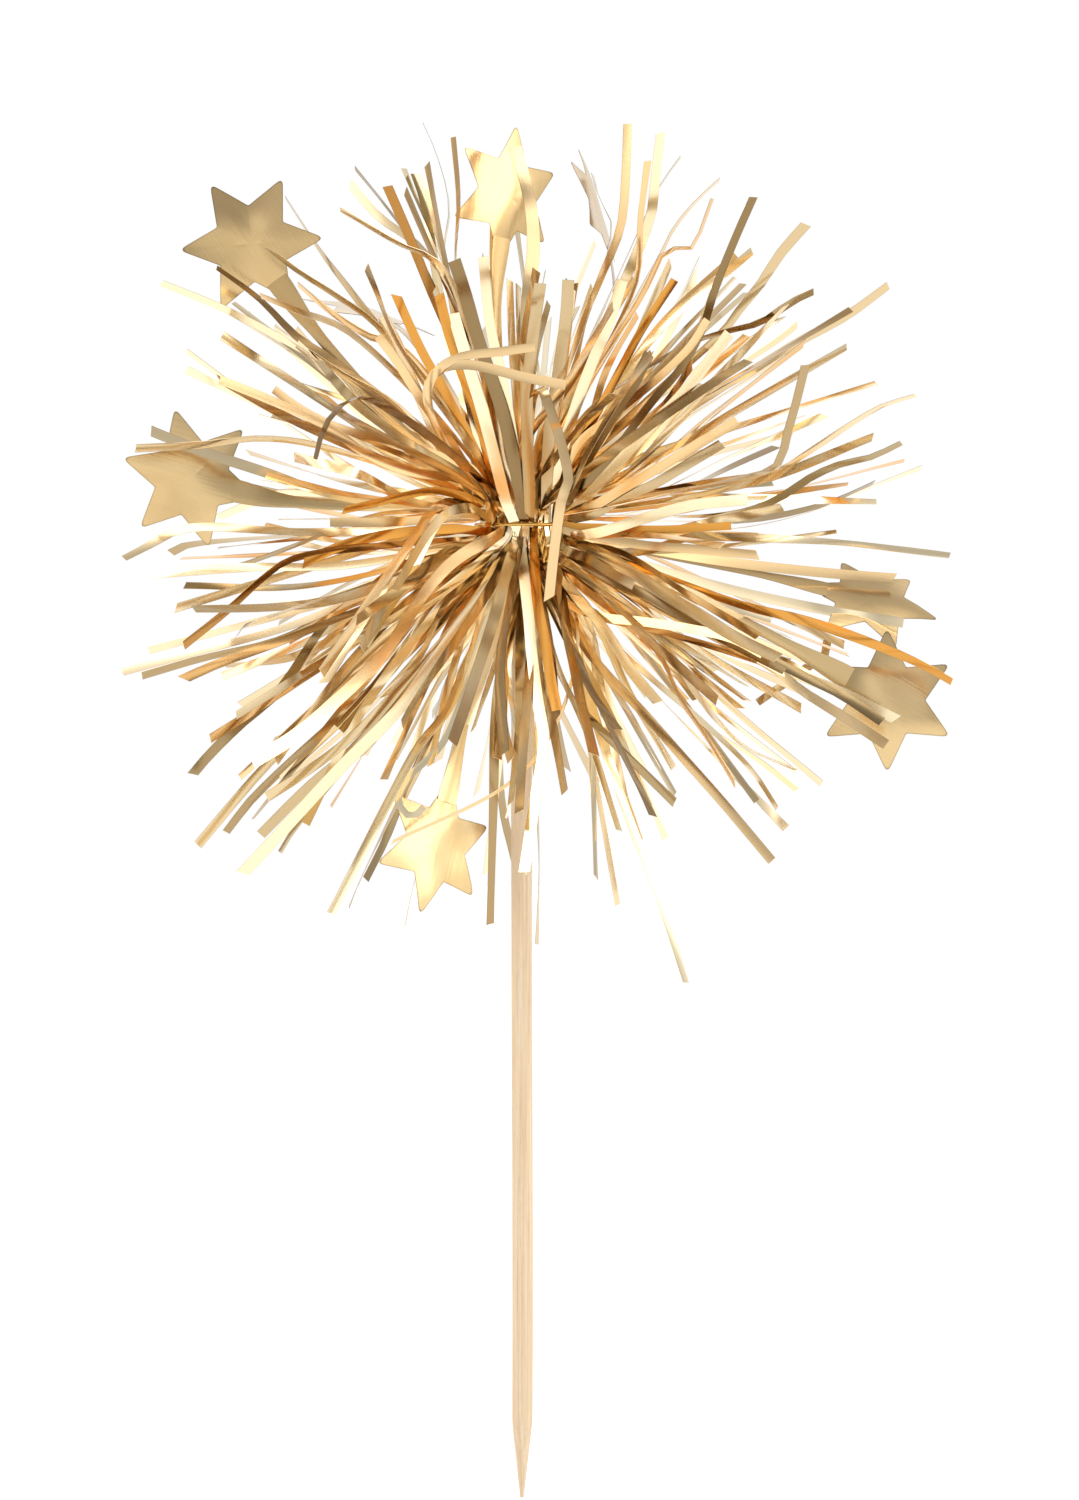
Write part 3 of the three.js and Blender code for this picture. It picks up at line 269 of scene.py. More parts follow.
# The across direction at each step: turned to roll where it is held, carried along without twist, then twisted,
# and brought flat against the bundle at the tie.
def acrossDirections(line, walked, strip):
    tangents = np.gradient(line, axis=0)
    tangents /= np.linalg.norm(tangents, axis=1)[:, None] + 1e-9
    held = int(len(line) * strip.get("heldAt", 0.7))
    t = tangents[held]
    view = towardsCamera if abs(t @ towardsCamera) < 0.93 else np.array([0.0, 0.0, 1.0])
    flat = unit(np.cross(t, view))
    facing = np.cross(flat, t)
    roll = strip["roll"]
    directions = [None] * len(line)
    directions[held] = flat * math.cos(roll) + facing * math.sin(roll)
    for i in list(range(held + 1, len(line))):
        directions[i] = unit(directions[i - 1] - (directions[i - 1] @ tangents[i]) * tangents[i])
    for i in reversed(range(held)):
        directions[i] = unit(directions[i + 1] - (directions[i + 1] @ tangents[i]) * tangents[i])
    whole = walked[-1]
    turned = []
    for i, a in enumerate(directions):
        n = np.cross(tangents[i], a)
        part = walked[i] / whole
        angle = strip["twist"] * (part - walked[held] / whole) + strip["wobble"] * math.sin(6.0 * part + strip["phase"])
        angle += strip["flutter"] * math.sin(15.0 * part + 3 * strip["phase"])
        turned.append(a * math.cos(angle) + n * math.sin(angle))
    rim = unit(np.array([-line[0][1], line[0][0], 0.0]))
    sign = 1 if rim @ turned[0] > 0 else -1
    for i in range(len(turned)):
        pull = 1 - smoothStep(walked[i] / strip.get("flatUntil", 9.0))
        if pull > 0:
            a = turned[i] * (1 - pull) + rim * sign * pull
            turned[i] = unit(a - (a @ tangents[i]) * tangents[i])
    return tangents, np.array(turned)


# Adds one strip to the lists of a piece: six corners a step, closed at both ends.
def addStrip(piece, strip):
    line, walked = smoothLine(strip["points"], strip.get("steps", 30))
    tangents, across = acrossDirections(line, walked, strip)
    normals = np.cross(tangents, across)
    first = len(piece["points"])
    half = strip["width"] / 2
    thick = burst["foil"] / 2
    last = len(line) - 1
    for i in range(len(line)):
        pinch = 0.8 + 0.2 * smoothStep(walked[i] / 7.0)
        if "neck" in strip:
            spread = smoothStep(1 - (walked[-1] - walked[i]) / strip["neck"]["length"])
            pinch += (strip["neck"]["width"] / strip["width"] - 1) * spread
        crown = strip["crown"] * smoothStep(walked[i] / 6.0)
        for side, u in ((1, -1), (1, 0), (1, 1), (-1, 1), (-1, 0), (-1, -1)):
            slant = strip["slant"] * u if i == last else 0
            place = line[i] + across[i] * u * half * pinch + tangents[i] * slant
            place = place + normals[i] * (crown * (1 - u * u) + side * thick)
            piece["points"].append((tie + place) * mm)
            piece["along"].append(walked[i])
            piece["across"].append(u * half)
            piece["rim"].append(abs(u))
            piece["tone"].append(strip["tone"])
            # Painted shade: the colour's darkening grows over 20 mm from where it starts along the strip
            piece["paintedShade"].append(1 - (1 - strip["paintedShade"]) * smoothStep((walked[i] - strip.get("paintedShadeFrom", 8.0)) / 20))
    for i in range(last):
        a = first + i * 6
        for k in range(6):
            m = (k + 1) % 6
            piece["faces"].append((a + k, a + m, a + 6 + m, a + 6 + k))
    b = first + last * 6
    piece["faces"] += [(first + 5, first + 4, first + 1, first), (first + 4, first + 3, first + 2, first + 1),
                       (b, b + 1, b + 4, b + 5), (b + 1, b + 2, b + 3, b + 4)]


def emptyPiece():
    return {"points": [], "faces": [], "along": [], "across": [], "rim": [], "tone": [], "paintedShade": []}


def finishPiece(name, piece, material, slot, *nodes, sharpAt=40):
    mesh = bpy.data.meshes.new(name)
    mesh.from_pydata([tuple(p) for p in piece["points"]], [], piece["faces"])
    for key in ("along", "across", "rim", "tone", "paintedShade"):
        if piece.get(key):
            layer = mesh.attributes.new(key, "FLOAT", "POINT")
            layer.data.foreach_set("value", piece[key])
    mesh.validate()
    mesh.shade_smooth()
    mesh.set_sharp_from_angle(angle=math.radians(sharpAt))
    mesh.materials.append(material)
    thing = bpy.data.objects.new(name, mesh)
    bpy.context.collection.objects.link(thing)
    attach(thing, "root")
    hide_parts(*nodes)
    return thing


def stripLook(width, facing=None):
    shown = min(facing / width, 1.0) if facing else random.uniform(0.5, 1.0)
    return {
        "width": width,
        "roll": math.acos(shown) * random.choice((-1, 1)),
        "twist": random.gauss(0, 0.55),
        "wobble": random.uniform(0, 0.3),
        "flutter": random.uniform(0, 0.1),
        "phase": random.uniform(0, 6.28),
        "crown": random.choice((-1, 1)) * random.uniform(0.01, 0.05),
        "slant": random.choice((0, 0, random.uniform(-0.5, 0.5))),
        "tone": random.random(),
        # painted shade: a random darkening of the colour, growing outwards along the strip
        "paintedShade": 1 - 0.45 * random.random() ** 1.5,
    }


# The start of a strip that leaves the tie for a way out. Every strip comes up or down out of the tie before it leans
# out, level ones from the rim and steep ones from nearer the pick.
def startPoints(way):
    x, y, z = way
    low = math.sin(math.radians(random.uniform(0, burst["lowestLeave"])))
    height = math.copysign(low + (1 - low) * abs(z), z)
    spread = math.sqrt((1 - height * height) / max(1 - z * z, 1e-4))
    leave = np.array([x * spread, y * spread, height]) * burst["knotReach"]
    level = math.hypot(leave[0], leave[1])
    angle = math.atan2(leave[1], leave[0]) if level > 0.5 else random.uniform(0, 2 * math.pi)
    radius = burst["coreRadius"] + (burst["waistRadius"] - burst["coreRadius"]) * min(1.0, level / 5.2)
    radius -= random.uniform(0, 0.4)
    up = math.copysign(1, z)
    rim = np.array([math.cos(angle), math.sin(angle), 0.0]) * radius
    return [rim - np.array([0, 0, up * 0.7]), rim + np.array([0, 0, up * random.uniform(0.2, 1.1)]), leave]


# The start of a strip that is held at one of the places round the outside of the tie
def heldPoints(place, way):
    angle = 2 * math.pi * place / burst["places"]
    outwards = np.array([math.cos(angle), math.sin(angle), 0.0])
    up = np.array([0, 0, math.copysign(1, way[2])])
    return [outwards * 4.8 - up * 1.4, outwards * 4.76, outwards * 4.82 + up * 0.8]


# Strips that show against the background or in front of the rest, as width and places across and up from the tie,
# from tip to tie, in mm.
nearStrips = [
    (0.58, (-7.9, 44.5), (-7.3, 37.4), (-7.5, 28.2)),
    (0.92, (-15.3, 38.3), (-12.9, 32.8), (-10.6, 27.1)),
    (0.58, (-19.6, 38.7), (-16.4, 35.1), (-11.7, 31.7), (-8.3, 27.1)),
    (0.92, (-20.6, 35.5), (-14.0, 31.7), (-9.4, 29.4)),
    (0.69, (-17.6, 28.8), (-16.4, 25.9), (-14.6, 21.3), (-11.7, 16.7)),
    (0.58, (-28.9, 31.3), (-25.6, 28.8), (-21.0, 25.9), (-16.4, 22.5)),
    (0.92, (-35.0, 29.4), (-30.2, 25.9), (-25.6, 21.3), (-22.1, 19.0)),
    (0.58, (-29.8, 25.9), (-25.6, 24.2), (-19.8, 21.9)),
    (0.92, (-23.0, 18.2), (-19.2, 13.8), (-14.0, 9.8)),
    (0.69, (-22.7, 14.0), (-20.4, 12.3)),
    (0.81, (-23.3, 6.9), (-22.1, 10.9), (-19.2, 13.8), (-14.0, 12.1)),
    (0.69, (-44.2, 8.6), (-37.1, 9.0), (-30.2, 9.8), (-23.3, 9.0)),
    (0.81, (-45.5, -4.0), (-42.8, -2.6), (-38.8, -0.6), (-25.6, -0.9)),
    (0.92, (-42.8, -5.9), (-37.1, -5.4), (-31.3, -5.0), (-19.2, -4.6)),
    (0.46, (-34.3, -5.4), (-30.2, -4.0), (-25.2, -2.1), (-16.4, 1.2)),
    (0.69, (-38.5, -14.0), (-33.6, -10.0), (-29.0, -5.8), (-26.1, -4.0)),
    (0.92, (-37.3, -9.9), (-27.9, -9.6), (-21.0, -8.6)),
    (0.81, (-43.6, -17.4), (-37.1, -15.5), (-27.9, -13.2), (-21.0, -9.8)),
    (0.92, (-38.6, -17.8), (-34.8, -16.1), (-25.6, -12.7)),
    (0.35, (-32.5, -13.2), (-31.9, -12.1), (-29.0, -10.9)),
    (0.92, (-37.9, -28.7), (-36.3, -26.8), (-32.5, -23.0), (-27.9, -19.0), (-21.0, -9.8)),
    (0.81, (-29.2, -31.3), (-24.4, -28.2), (-18.7, -23.6)),
    (0.92, (-1.3, -32.0), (-0.5, -24.8)),
    (0.92, (-0.3, -32.9), (0.2, -24.8), (0.9, -14.4)),
    (0.92, (-13.5, -23.0), (-12.3, -20.7)),
    (0.81, (49.1, -3.6), (43.5, -2.9), (36.6, -2.1), (22.8, -1.4), (19.3, -1.4), (14.7, -2.9), (9.0, -3.1)),
    (0.46, (29.2, -32.6), (26.3, -28.2), (20.5, -22.5), (11.3, -14.4)),
    (0.69, (31.4, -28.2), (25.1, -25.3), (20.5, -20.2), (15.9, -13.2), (13.6, -10.9)),
    (0.46, (24.2, -29.7), (21.6, -25.3), (18.2, -20.2), (15.3, -14.4)),
    (0.92, (17.4, -31.9), (13.6, -28.2), (9.0, -23.6), (5.5, -19.6)),
    (0.35, (14.9, -33.4), (13.6, -30.5), (11.3, -25.9)),
    (0.81, (10.9, -23.6), (7.8, -19.0), (6.1, -14.4)),
    (0.92, (4.1, -22.2), (3.2, -14.4), (2.1, -8.6)),
    (1.04, (41.8, -25.3), (36.6, -21.9), (32.0, -19.0), (29.1, -16.7)),
    (1.04, (41.2, -22.7), (36.6, -19.6), (32.0, -17.3)),
    (0.92, (15.9, 44.9), (15.3, 39.7), (14.7, 35.1)),
    (0.58, (14.4, 41.5), (13.6, 35.1), (13.0, 27.6)),
    (0.46, (21.9, 37.5), (19.3, 31.7), (16.8, 31.7), (14.2, 27.1)),
    (0.92, (32.6, 34.4), (29.7, 31.1), (27.4, 27.6), (25.1, 24.8), (23.4, 22.5)),
    (0.46, (33.3, 26.4), (30.9, 25.3), (27.4, 23.0), (24.0, 22.1), (19.3, 20.7), (13.6, 17.3), (7.8, 13.2)),
    (0.92, (25.7, 18.2), (20.5, 15.0)),
    (0.69, (14.7, 19.0), (11.3, 14.4), (7.8, 8.6), (5.5, 4.0)),
    (0.46, (32.2, 17.8), (31.4, 14.4), (30.3, 10.4), (29.1, 6.6), (25.1, 5.2)),
    (0.58, (43.5, 9.3), (40.1, 7.7), (36.6, 6.9), (33.2, 5.4), (29.7, 3.1), (26.3, 1.7), (21.6, 1.0)),
]
farStrips = [
    (0.35, (-11.3, 46.2), (-9.9, 43.0), (-8.4, 36.9), (-9.1, 29.4)),
    (0.58, (-19.2, 41.1), (-15.8, 36.9), (-12.9, 32.8)),
    (0.46, (-27.3, 37.8), (-23.3, 31.7), (-19.6, 26.8)),
    (0.81, (-26.0, 28.1), (-22.1, 24.8), (-17.5, 21.9), (-14.0, 20.7)),
    (0.81, (-26.3, 22.9), (-24.4, 20.7)),
    (0.81, (-31.1, 4.7), (-27.9, 4.0)),
    (0.58, (-30.2, 5.5), (-25.6, 4.6)),
    (0.69, (-35.4, 1.2), (-31.3, 2.9), (-27.9, 4.0)),
    (0.69, (-41.0, -2.9), (-39.4, -2.1)),
    (0.46, (-30.4, -8.6), (-24.4, -8.4)),
    (0.81, (-34.8, -16.1), (-26.4, -15.0)),
    (0.81, (-32.7, -20.7), (-27.9, -17.8)),
    (0.40, (-29.0, -24.8), (-25.6, -23.0)),
    (0.81, (-34.2, -35.4), (-31.3, -31.7), (-29.0, -29.4)),
    (0.92, (-30.2, -35.7), (-24.4, -29.9), (-18.7, -24.8)),
    (0.58, (-27.9, -37.7), (-26.7, -35.7)),
    (0.46, (-20.0, -44.1), (-18.7, -40.9)),
    (1.04, (-18.1, -40.9), (-15.8, -36.3), (-14.0, -31.7), (-11.7, -27.1)),
    (0.46, (-13.6, -46.4), (-12.7, -42.0)),
    (0.46, (1.7, -48.4), (2.0, -39.7), (1.7, -31.7)),
    (0.35, (-1.0, -38.6), (-2.5, -30.5)),
    (0.35, (31.8, -30.5), (27.4, -27.1), (20.5, -22.5)),
    (0.69, (5.3, -28.2), (4.4, -24.8)),
    (0.35, (27.4, -20.4), (33.7, -15.9), (36.0, -13.8)),
    (0.35, (18.3, 42.6), (15.9, 39.2), (14.5, 36.3)),
    (0.46, (22.9, 40.2), (20.5, 38.0), (17.6, 34.5), (15.9, 31.1), (13.6, 27.1)),
    (0.35, (8.2, 41.0), (9.0, 38.0), (10.4, 35.1)),
    (0.35, (20.5, 31.4), (17.3, 24.8)),
    (0.46, (32.0, 23.6), (30.3, 22.2)),
    (0.35, (38.0, 25.0), (28.6, 19.3)),
    (0.35, (29.7, 9.6), (25.1, 7.5), (20.5, 5.2), (13.6, 1.7)),
    (0.30, (46.1, 6.7), (40.1, 4.4), (33.2, 1.5), (22.8, -0.6)),
    (0.30, (40.9, 5.2), (36.6, 3.2), (32.9, 2.0), (25.1, 0.6)),
]

# Strips over the front of the tie: how each catches the light, its shown width, how far its tip comes forward, and
# places across and up from the tie, from tie to tip.
frontStrips = [
    ("white", 1.38, 13, (-0.5, -0.8), (-1.8, 2.5), (-2.8, 6.3), (-3.7, 9.8), (-4.8, 13.8), (-6.0, 17.6), (-6.9, 20.7), (-7.8, 23.8)),
    ("dark", 1.50, 12, (0.2, 0.1), (-0.3, 4.0), (-1.2, 8.6), (-2.2, 12.7), (-3.6, 16.9), (-5.1, 21.3), (-6.4, 25.9), (-7.7, 29.9)),
    ("cream", 1.15, 12, (-0.3, 2.9), (-0.9, 8.6), (-1.6, 13.2), (-2.5, 17.8), (-3.5, 21.9), (-4.0, 25.9), (-4.4, 30.3)),
    ("khaki", 1.38, 17, (0.9, 0.3), (0.8, 5.2), (0.6, 9.8), (0.6, 14.4), (1.0, 19.0), (1.6, 23.6), (2.1, 27.1)),
    ("khaki", 1.38, 14, (2.8, 2.3), (3.0, 8.1), (3.3, 12.1), (4.0, 16.1), (4.6, 20.2), (5.1, 24.2), (5.3, 27.6)),
    ("cream", 1.27, 13, (3.0, 2.1), (4.0, 6.3), (5.1, 10.0), (6.3, 13.8), (7.6, 17.3), (9.0, 20.7), (10.4, 24.2), (11.5, 27.6)),
    ("dark", 1.27, 18, (5.1, 1.7), (6.0, 4.4), (7.4, 7.3), (9.1, 10.1), (10.8, 13.0), (12.4, 15.2), (13.6, 17.4), (14.5, 19.1)),
    ("orange", 0.92, 15, (4.4, 3.5), (6.4, 8.6), (8.6, 12.7), (11.1, 17.3), (13.6, 21.9), (15.5, 24.8), (17.4, 27.6)),
    ("gold", 0.92, 17, (4.4, 4.0), (5.5, 7.5), (7.0, 9.8), (9.2, 11.5), (11.9, 13.6), (14.7, 15.8), (17.3, 18.1), (19.3, 20.2), (21.1, 23.0)),
    ("cream", 1.27, 22, (5.3, 0.9), (7.8, 3.5), (10.4, 6.3), (12.9, 9.0), (15.3, 11.6), (17.7, 14.0), (20.5, 17.3), (23.5, 21.3)),
    ("gold", 1.15, 16, (4.8, 0.6), (8.1, 2.0), (11.5, 4.0), (14.7, 5.8), (20.5, 9.2), (24.5, 11.5)),
    ("khaki", 1.15, 12, (5.5, 0.3), (8.4, 1.2), (11.3, 2.9), (14.7, 4.3), (18.2, 6.3), (22.8, 9.0)),
    ("dark", 0.92, 13, (4.4, 2.9), (7.8, 5.2), (11.3, 9.2), (13.6, 12.3), (15.9, 15.2), (18.2, 17.8), (20.5, 21.9), (22.2, 27.1), (24.5, 32.8), (26.4, 37.1)),
    ("orange", 1.04, 13, (-2.5, 2.9), (-4.3, 6.3), (-6.0, 9.8), (-7.7, 13.0), (-9.4, 16.1), (-11.2, 19.2), (-12.8, 22.5), (-14.3, 25.9)),
    ("cream", 1.04, 12, (-4.3, 3.1), (-7.7, 5.8), (-9.1, 8.6), (-10.4, 11.2), (-11.5, 13.8), (-12.7, 16.7), (-14.0, 20.2), (-15.8, 23.6)),
    ("orange", 1.15, 15, (-2.3, 2.6), (-3.5, 6.3), (-4.5, 10.4), (-5.5, 13.8), (-6.7, 16.7), (-7.7, 19.6), (-8.6, 22.5), (-9.4, 25.9)),
    ("gold", 1.04, 12, (-3.7, 3.1), (-6.2, 6.3), (-8.4, 9.8), (-10.5, 12.7), (-12.4, 15.5), (-14.5, 18.8), (-16.4, 21.3)),
    ("gold", 1.04, 23, (-3.1, 2.9), (-5.1, 4.4), (-7.7, 5.3), (-10.6, 5.6), (-13.5, 6.1), (-18.1, 8.1), (-22.1, 10.9), (-29.0, 14.0), (-34.2, 16.0)),
    ("gold", 0.92, 16, (-3.7, 3.8), (-6.6, 6.3), (-9.4, 7.8), (-14.0, 9.2), (-21.0, 10.9), (-25.6, 13.2), (-28.2, 15.1)),
    ("orange", 0.92, 9, (-3.1, 2.0), (-6.6, 3.2), (-10.0, 3.8), (-13.5, 3.2), (-16.9, 2.3), (-20.4, 1.5)),
    ("khaki", 1.04, 23, (-2.9, 0.3), (-5.8, 1.8), (-8.3, 1.3), (-10.6, -1.0), (-12.3, -3.8), (-14.3, -7.5), (-16.4, -10.9), (-18.1, -14.4)),
    ("gold", 1.04, 22, (-4.8, 2.3), (-8.3, 2.6), (-10.4, 1.4), (-11.7, -0.6), (-14.0, -4.0), (-16.4, -7.5), (-19.8, -12.7), (-22.7, -17.2)),
    ("gold", 1.27, 22, (-1.6, -0.1), (-3.5, -1.7), (-6.0, -3.0), (-8.3, -4.7), (-10.8, -7.5), (-12.9, -10.7), (-15.8, -15.0), (-21.0, -20.2), (-25.6, -24.2), (-30.5, -27.3)),
    ("cream", 1.38, 8, (-0.8, -1.3), (-1.8, -3.1), (-3.1, -5.4), (-4.6, -7.9), (-6.1, -10.1), (-8.3, -13.2), (-11.2, -17.3), (-14.0, -21.1), (-21.0, -28.2), (-27.9, -35.7), (-31.9, -40.0)),
    ("khaki", 1.27, 17, (-0.6, -1.7), (-1.4, -4.3), (-2.3, -7.5), (-3.3, -11.2), (-4.5, -15.0), (-5.8, -19.0), (-6.8, -22.0), (-7.9, -25.1)),
    ("white", 1.04, 8, (-1.4, -2.3), (-2.5, -5.8), (-4.3, -10.0), (-5.5, -14.2), (-6.9, -17.8), (-8.6, -21.5), (-11.7, -25.3), (-15.2, -31.7), (-18.7, -38.6), (-21.8, -44.6)),
    ("gold", 0.92, 12, (-0.9, -2.9), (-1.6, -7.5), (-2.9, -12.3), (-4.0, -16.1), (-5.2, -19.8), (-6.2, -23.0)),
    ("dark", 1.15, 14, (-0.5, -2.9), (-1.2, -6.3), (-1.7, -10.0), (-2.3, -13.8), (-2.5, -17.8), (-2.3, -21.9), (-2.0, -26.3)),
    ("white", 1.27, 24, (-0.1, -2.3), (0.3, -6.3), (0.8, -10.9), (1.2, -15.5), (1.8, -20.2), (2.5, -24.8), (1.5, -31.7), (0.3, -39.7)),
    ("orange", 1.15, 16, (1.3, -0.6), (1.5, -5.2), (1.8, -9.2), (2.6, -13.2), (3.3, -17.8), (4.0, -21.4)),
    ("khaki", 1.38, 15, (3.8, -2.6), (4.6, -8.6), (5.2, -12.7), (6.0, -16.5), (6.7, -20.2), (7.4, -23.0), (8.2, -26.4)),
    ("khaki", 1.38, 20, (4.4, -1.3), (7.3, -2.5), (9.9, -3.8), (12.7, -5.6), (15.5, -7.6), (19.3, -10.0), (24.5, -13.2), (29.1, -15.5)),
    ("dark", 1.04, 17, (4.6, -2.3), (7.3, -4.6), (10.1, -6.3), (14.7, -8.4), (20.5, -11.9), (25.1, -14.4), (29.9, -16.9)),
    ("gold", 1.04, 16, (3.9, -4.0), (6.1, -8.6), (9.0, -10.6), (13.6, -11.2), (19.3, -12.1), (24.0, -13.2), (27.4, -15.0)),
    ("khaki", 1.15, 12, (4.4, -2.3), (7.6, -4.0), (10.1, -5.6), (12.7, -7.1)),
    ("white", 1.27, 14, (5.1, -1.7), (9.0, -0.9), (13.6, 0.5), (19.3, 2.0), (25.7, 2.6)),
    ("cream", 1.15, 15, (3.8, -4.0), (6.7, -8.9), (9.0, -11.5), (12.4, -16.7), (15.5, -20.5)),
    ("orange", 1.15, 7, (-3.5, -0.6), (-8.0, -0.5), (-14.0, -1.0), (-20.0, -2.3), (-25.0, -4.5)),
    ("gold", 1.04, 4, (-3.6, 0.6), (-8.0, 0.8), (-14.0, 0.3), (-22.0, 0.2)),
    ("gold", 1.04, 6, (4.5, -0.4), (9.0, -1.5), (14.0, -2.4), (20.0, -2.9), (27.0, -3.6)),
    ("orange", 0.92, 3, (4.6, 0.2), (10.0, -0.4), (16.0, -0.6), (24.0, -0.2)),
    ("gold", 1.04, 8, (3.2, -3.5), (4.4, -8.6), (6.7, -13.2), (9.0, -16.4), (13.6, -21.3), (18.2, -26.5), (22.8, -31.7), (28.6, -38.6)),
]
# How bright each kind should show, reached by its roll and, where no roll reaches it, by painted shade darkening its
# colour; and how pale its lacquer is
frontKinds = {"khaki": (0.74, 0.6), "dark": (0.36, 0.45), "cream": (1.2, 0.85), "white": (1.7, 1.0), "orange": (1.0, 0.0), "gold": (1.1, 0.2)}
# Strips that curl or fold over the others, tie to tip, across, deep and up from the tie
curledStrips = [
    ("gold", 1.15, (0.8, -5.5, 3.0), (0.8, -9.0, 8.0), (1.2, -15.0, 14.0), (2.2, -19.0, 15.3), (3.5, -21.0, 12.1), (4.6, -22.0, 8.6),
     (5.3, -22.7, 4.4), (4.7, -22.9, 3.2), (3.8, -22.5, -2.3), (3.1, -22.0, -8.7)),
    ("gold", 1.04, (-3.5, -6.0, 2.0), (-8.0, -15.0, 8.0), (-10.6, -21.5, 13.6), (-10.2, -23.4, 16.4), (-8.4, -24.4, 18.2), (-6.0, -25.0, 19.0),
     (-3.0, -25.6, 19.3), (1.5, -26.0, 19.9)),
    ("gold", 1.15, (-4.0, -7.0, 2.6), (-8.6, -15.0, 8.6), (-10.9, -21.0, 13.8), (-10.6, -22.6, 15.9), (-9.2, -23.8, 17.5), (-6.0, -25.2, 17.9),
     (0.0, -27.0, 16.5), (5.0, -28.0, 15.5)),
    # over the stars at the top, on the right and below
    ("gold", 1.5, (0.3, -4.8, 1.0), (0.5, -8.0, 12.0), (0.7, -5.0, 25.9), (1.3, -1.0, 31.7), (0.9, 3.0, 37.4), (-0.8, 5.0, 43.8)),
    ("gold", 1.15, (4.6, -1.5, -0.6), (12.0, 2.0, -2.2), (24.0, 8.0, -4.2), (36.4, 13.2, -5.5), (43.2, 15.0, -6.0)),
    ("khaki", 1.15, (4.6, -1.5, -1.4), (12.0, 1.0, -4.0), (24.0, 5.0, -7.4), (36.6, 9.0, -10.0), (44.1, 8.6, -11.2)),
    ("cream", 1.25, (4.6, -3.0, -2.4), (14.0, -3.5, -8.0), (27.0, -4.0, -15.3), (37.0, -4.0, -19.4), (43.0, -4.0, -22.4)),
    ("gold", 0.4, (4.4, -1.5, -1.6), (6.4, -8.0, -14.0), (3.4, -9.0, -24.0), (-1.7, -9.5, -29.9), (-14.9, -10.0, -36.5)),
    ("white", 0.8, (-1.0, -4.8, -2.0), (-5.0, -8.0, -14.0), (-9.0, -9.5, -25.0), (-13.2, -10.0, -29.3), (-14.2, -10.5, -31.8),
     (-12.6, -11.0, -33.6), (-11.2, -10.6, -32.4)),
]


quarters = {name: emptyPiece() for name in ("front", "right", "back", "left")}


# The strands of a packed quarter, each as its bend and its tip. Beyond the knot a strand has three corners at each.
def strandsOf(quarter):
    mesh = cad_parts["tinsel_" + quarter].data
    corners = np.empty(len(mesh.vertices) * 3)
    mesh.vertices.foreach_get("co", corners)
    corners = np.round(corners.reshape(-1, 3) / mm - tie, 3)
    places, same = np.unique(corners, axis=0, return_inverse=True)
    same = same.reshape(-1)
    joined = {}
    for edge in mesh.edges:
        a, b = (int(same[v]) for v in edge.vertices)
        if min(np.linalg.norm(places[a]), np.linalg.norm(places[b])) > 7.2:
            joined.setdefault(a, set()).add(b)
            joined.setdefault(b, set()).add(a)
    found = []
    left = sorted(joined)
    while left:
        group, waiting = set(), [left[0]]
        while waiting:
            corner = waiting.pop()
            if corner not in group:
                group.add(corner)
                waiting += joined[corner]
        left = [corner for corner in left if corner not in group]
        if len(group) != 6:
            continue
        own = places[sorted(group)]
        far = own[np.argmax(np.linalg.norm(own, axis=1))]
        order = np.argsort(np.linalg.norm(own - far, axis=1))
        found.append({"quarter": quarter, "bend": own[order[3:]].mean(0), "tip": own[order[:3]].mean(0)})
    return found


packed = [strand for quarter in quarters for strand in strandsOf(quarter)]
print("packed strands:", len(packed))


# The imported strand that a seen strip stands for, if there is one
def takePacked(closeness):
    best = min(range(len(packed)), key=lambda i: closeness(packed[i]))
    return packed.pop(best) if closeness(packed[best]) < 2.2 else None


def depthAt(across, up, reach):
    span = math.hypot(across, up)
    return min(math.sqrt(max(reach * reach - span * span, 50.0)), burst["deepest"])


# Turns a way seen from the front into one in space: its depth grows evenly from the tie to the tip.
def inSpace(ways, depth):
    full = math.hypot(*ways[0])
    return [np.array([x, depth * min(1.0, math.hypot(x, z) / full), z]) for x, z in reversed(ways)]


def quarterOf(tip):
    turn = math.degrees(math.atan2(tip[1], tip[0])) % 360
    return ["right", "back", "left", "front"][int(((turn + 45) % 360) // 90)]


# How bright the room or the floor shows in a strip that runs along t and is turned by roll, seen from the front
def brightnessIn(t, roll):
    view = towardsCamera if abs(t @ towardsCamera) < 0.93 else np.array([0.0, 0.0, 1.0])
    flat = unit(np.cross(t, view))
    normal = np.cross(t, flat * math.cos(roll) + np.cross(flat, t) * math.sin(roll))
    mirrored = normal * 2 * (normal @ towardsCamera) - towardsCamera
    for lamp in softboxes.values():
        aim = np.array(lamp["place"]) - tie * mm
        along = unit(aim)
        if mirrored @ along > 0.3:
            off = mirrored * (np.linalg.norm(aim) / (mirrored @ along)) - aim
            sideways = unit(np.cross(np.array([0.0, 0.0, 1.0]), along)) if abs(along[2]) < 0.95 else np.array([1.0, 0.0, 0.0])
            if abs(off @ sideways) < lamp["size"][0] / 2 + 0.05 and abs(off @ np.cross(along, sideways)) < lamp["size"][1] / 2 + 0.05:
                return lamp["radiance"]
    if mirrored[2] < -0.04:
        return studio["floorInFoil"]
    places, shades = zip(*studio["roomInFoil"])
    return float(np.interp((1 - mirrored[1]) / 2, places, shades)) * studio["roomPeak"]


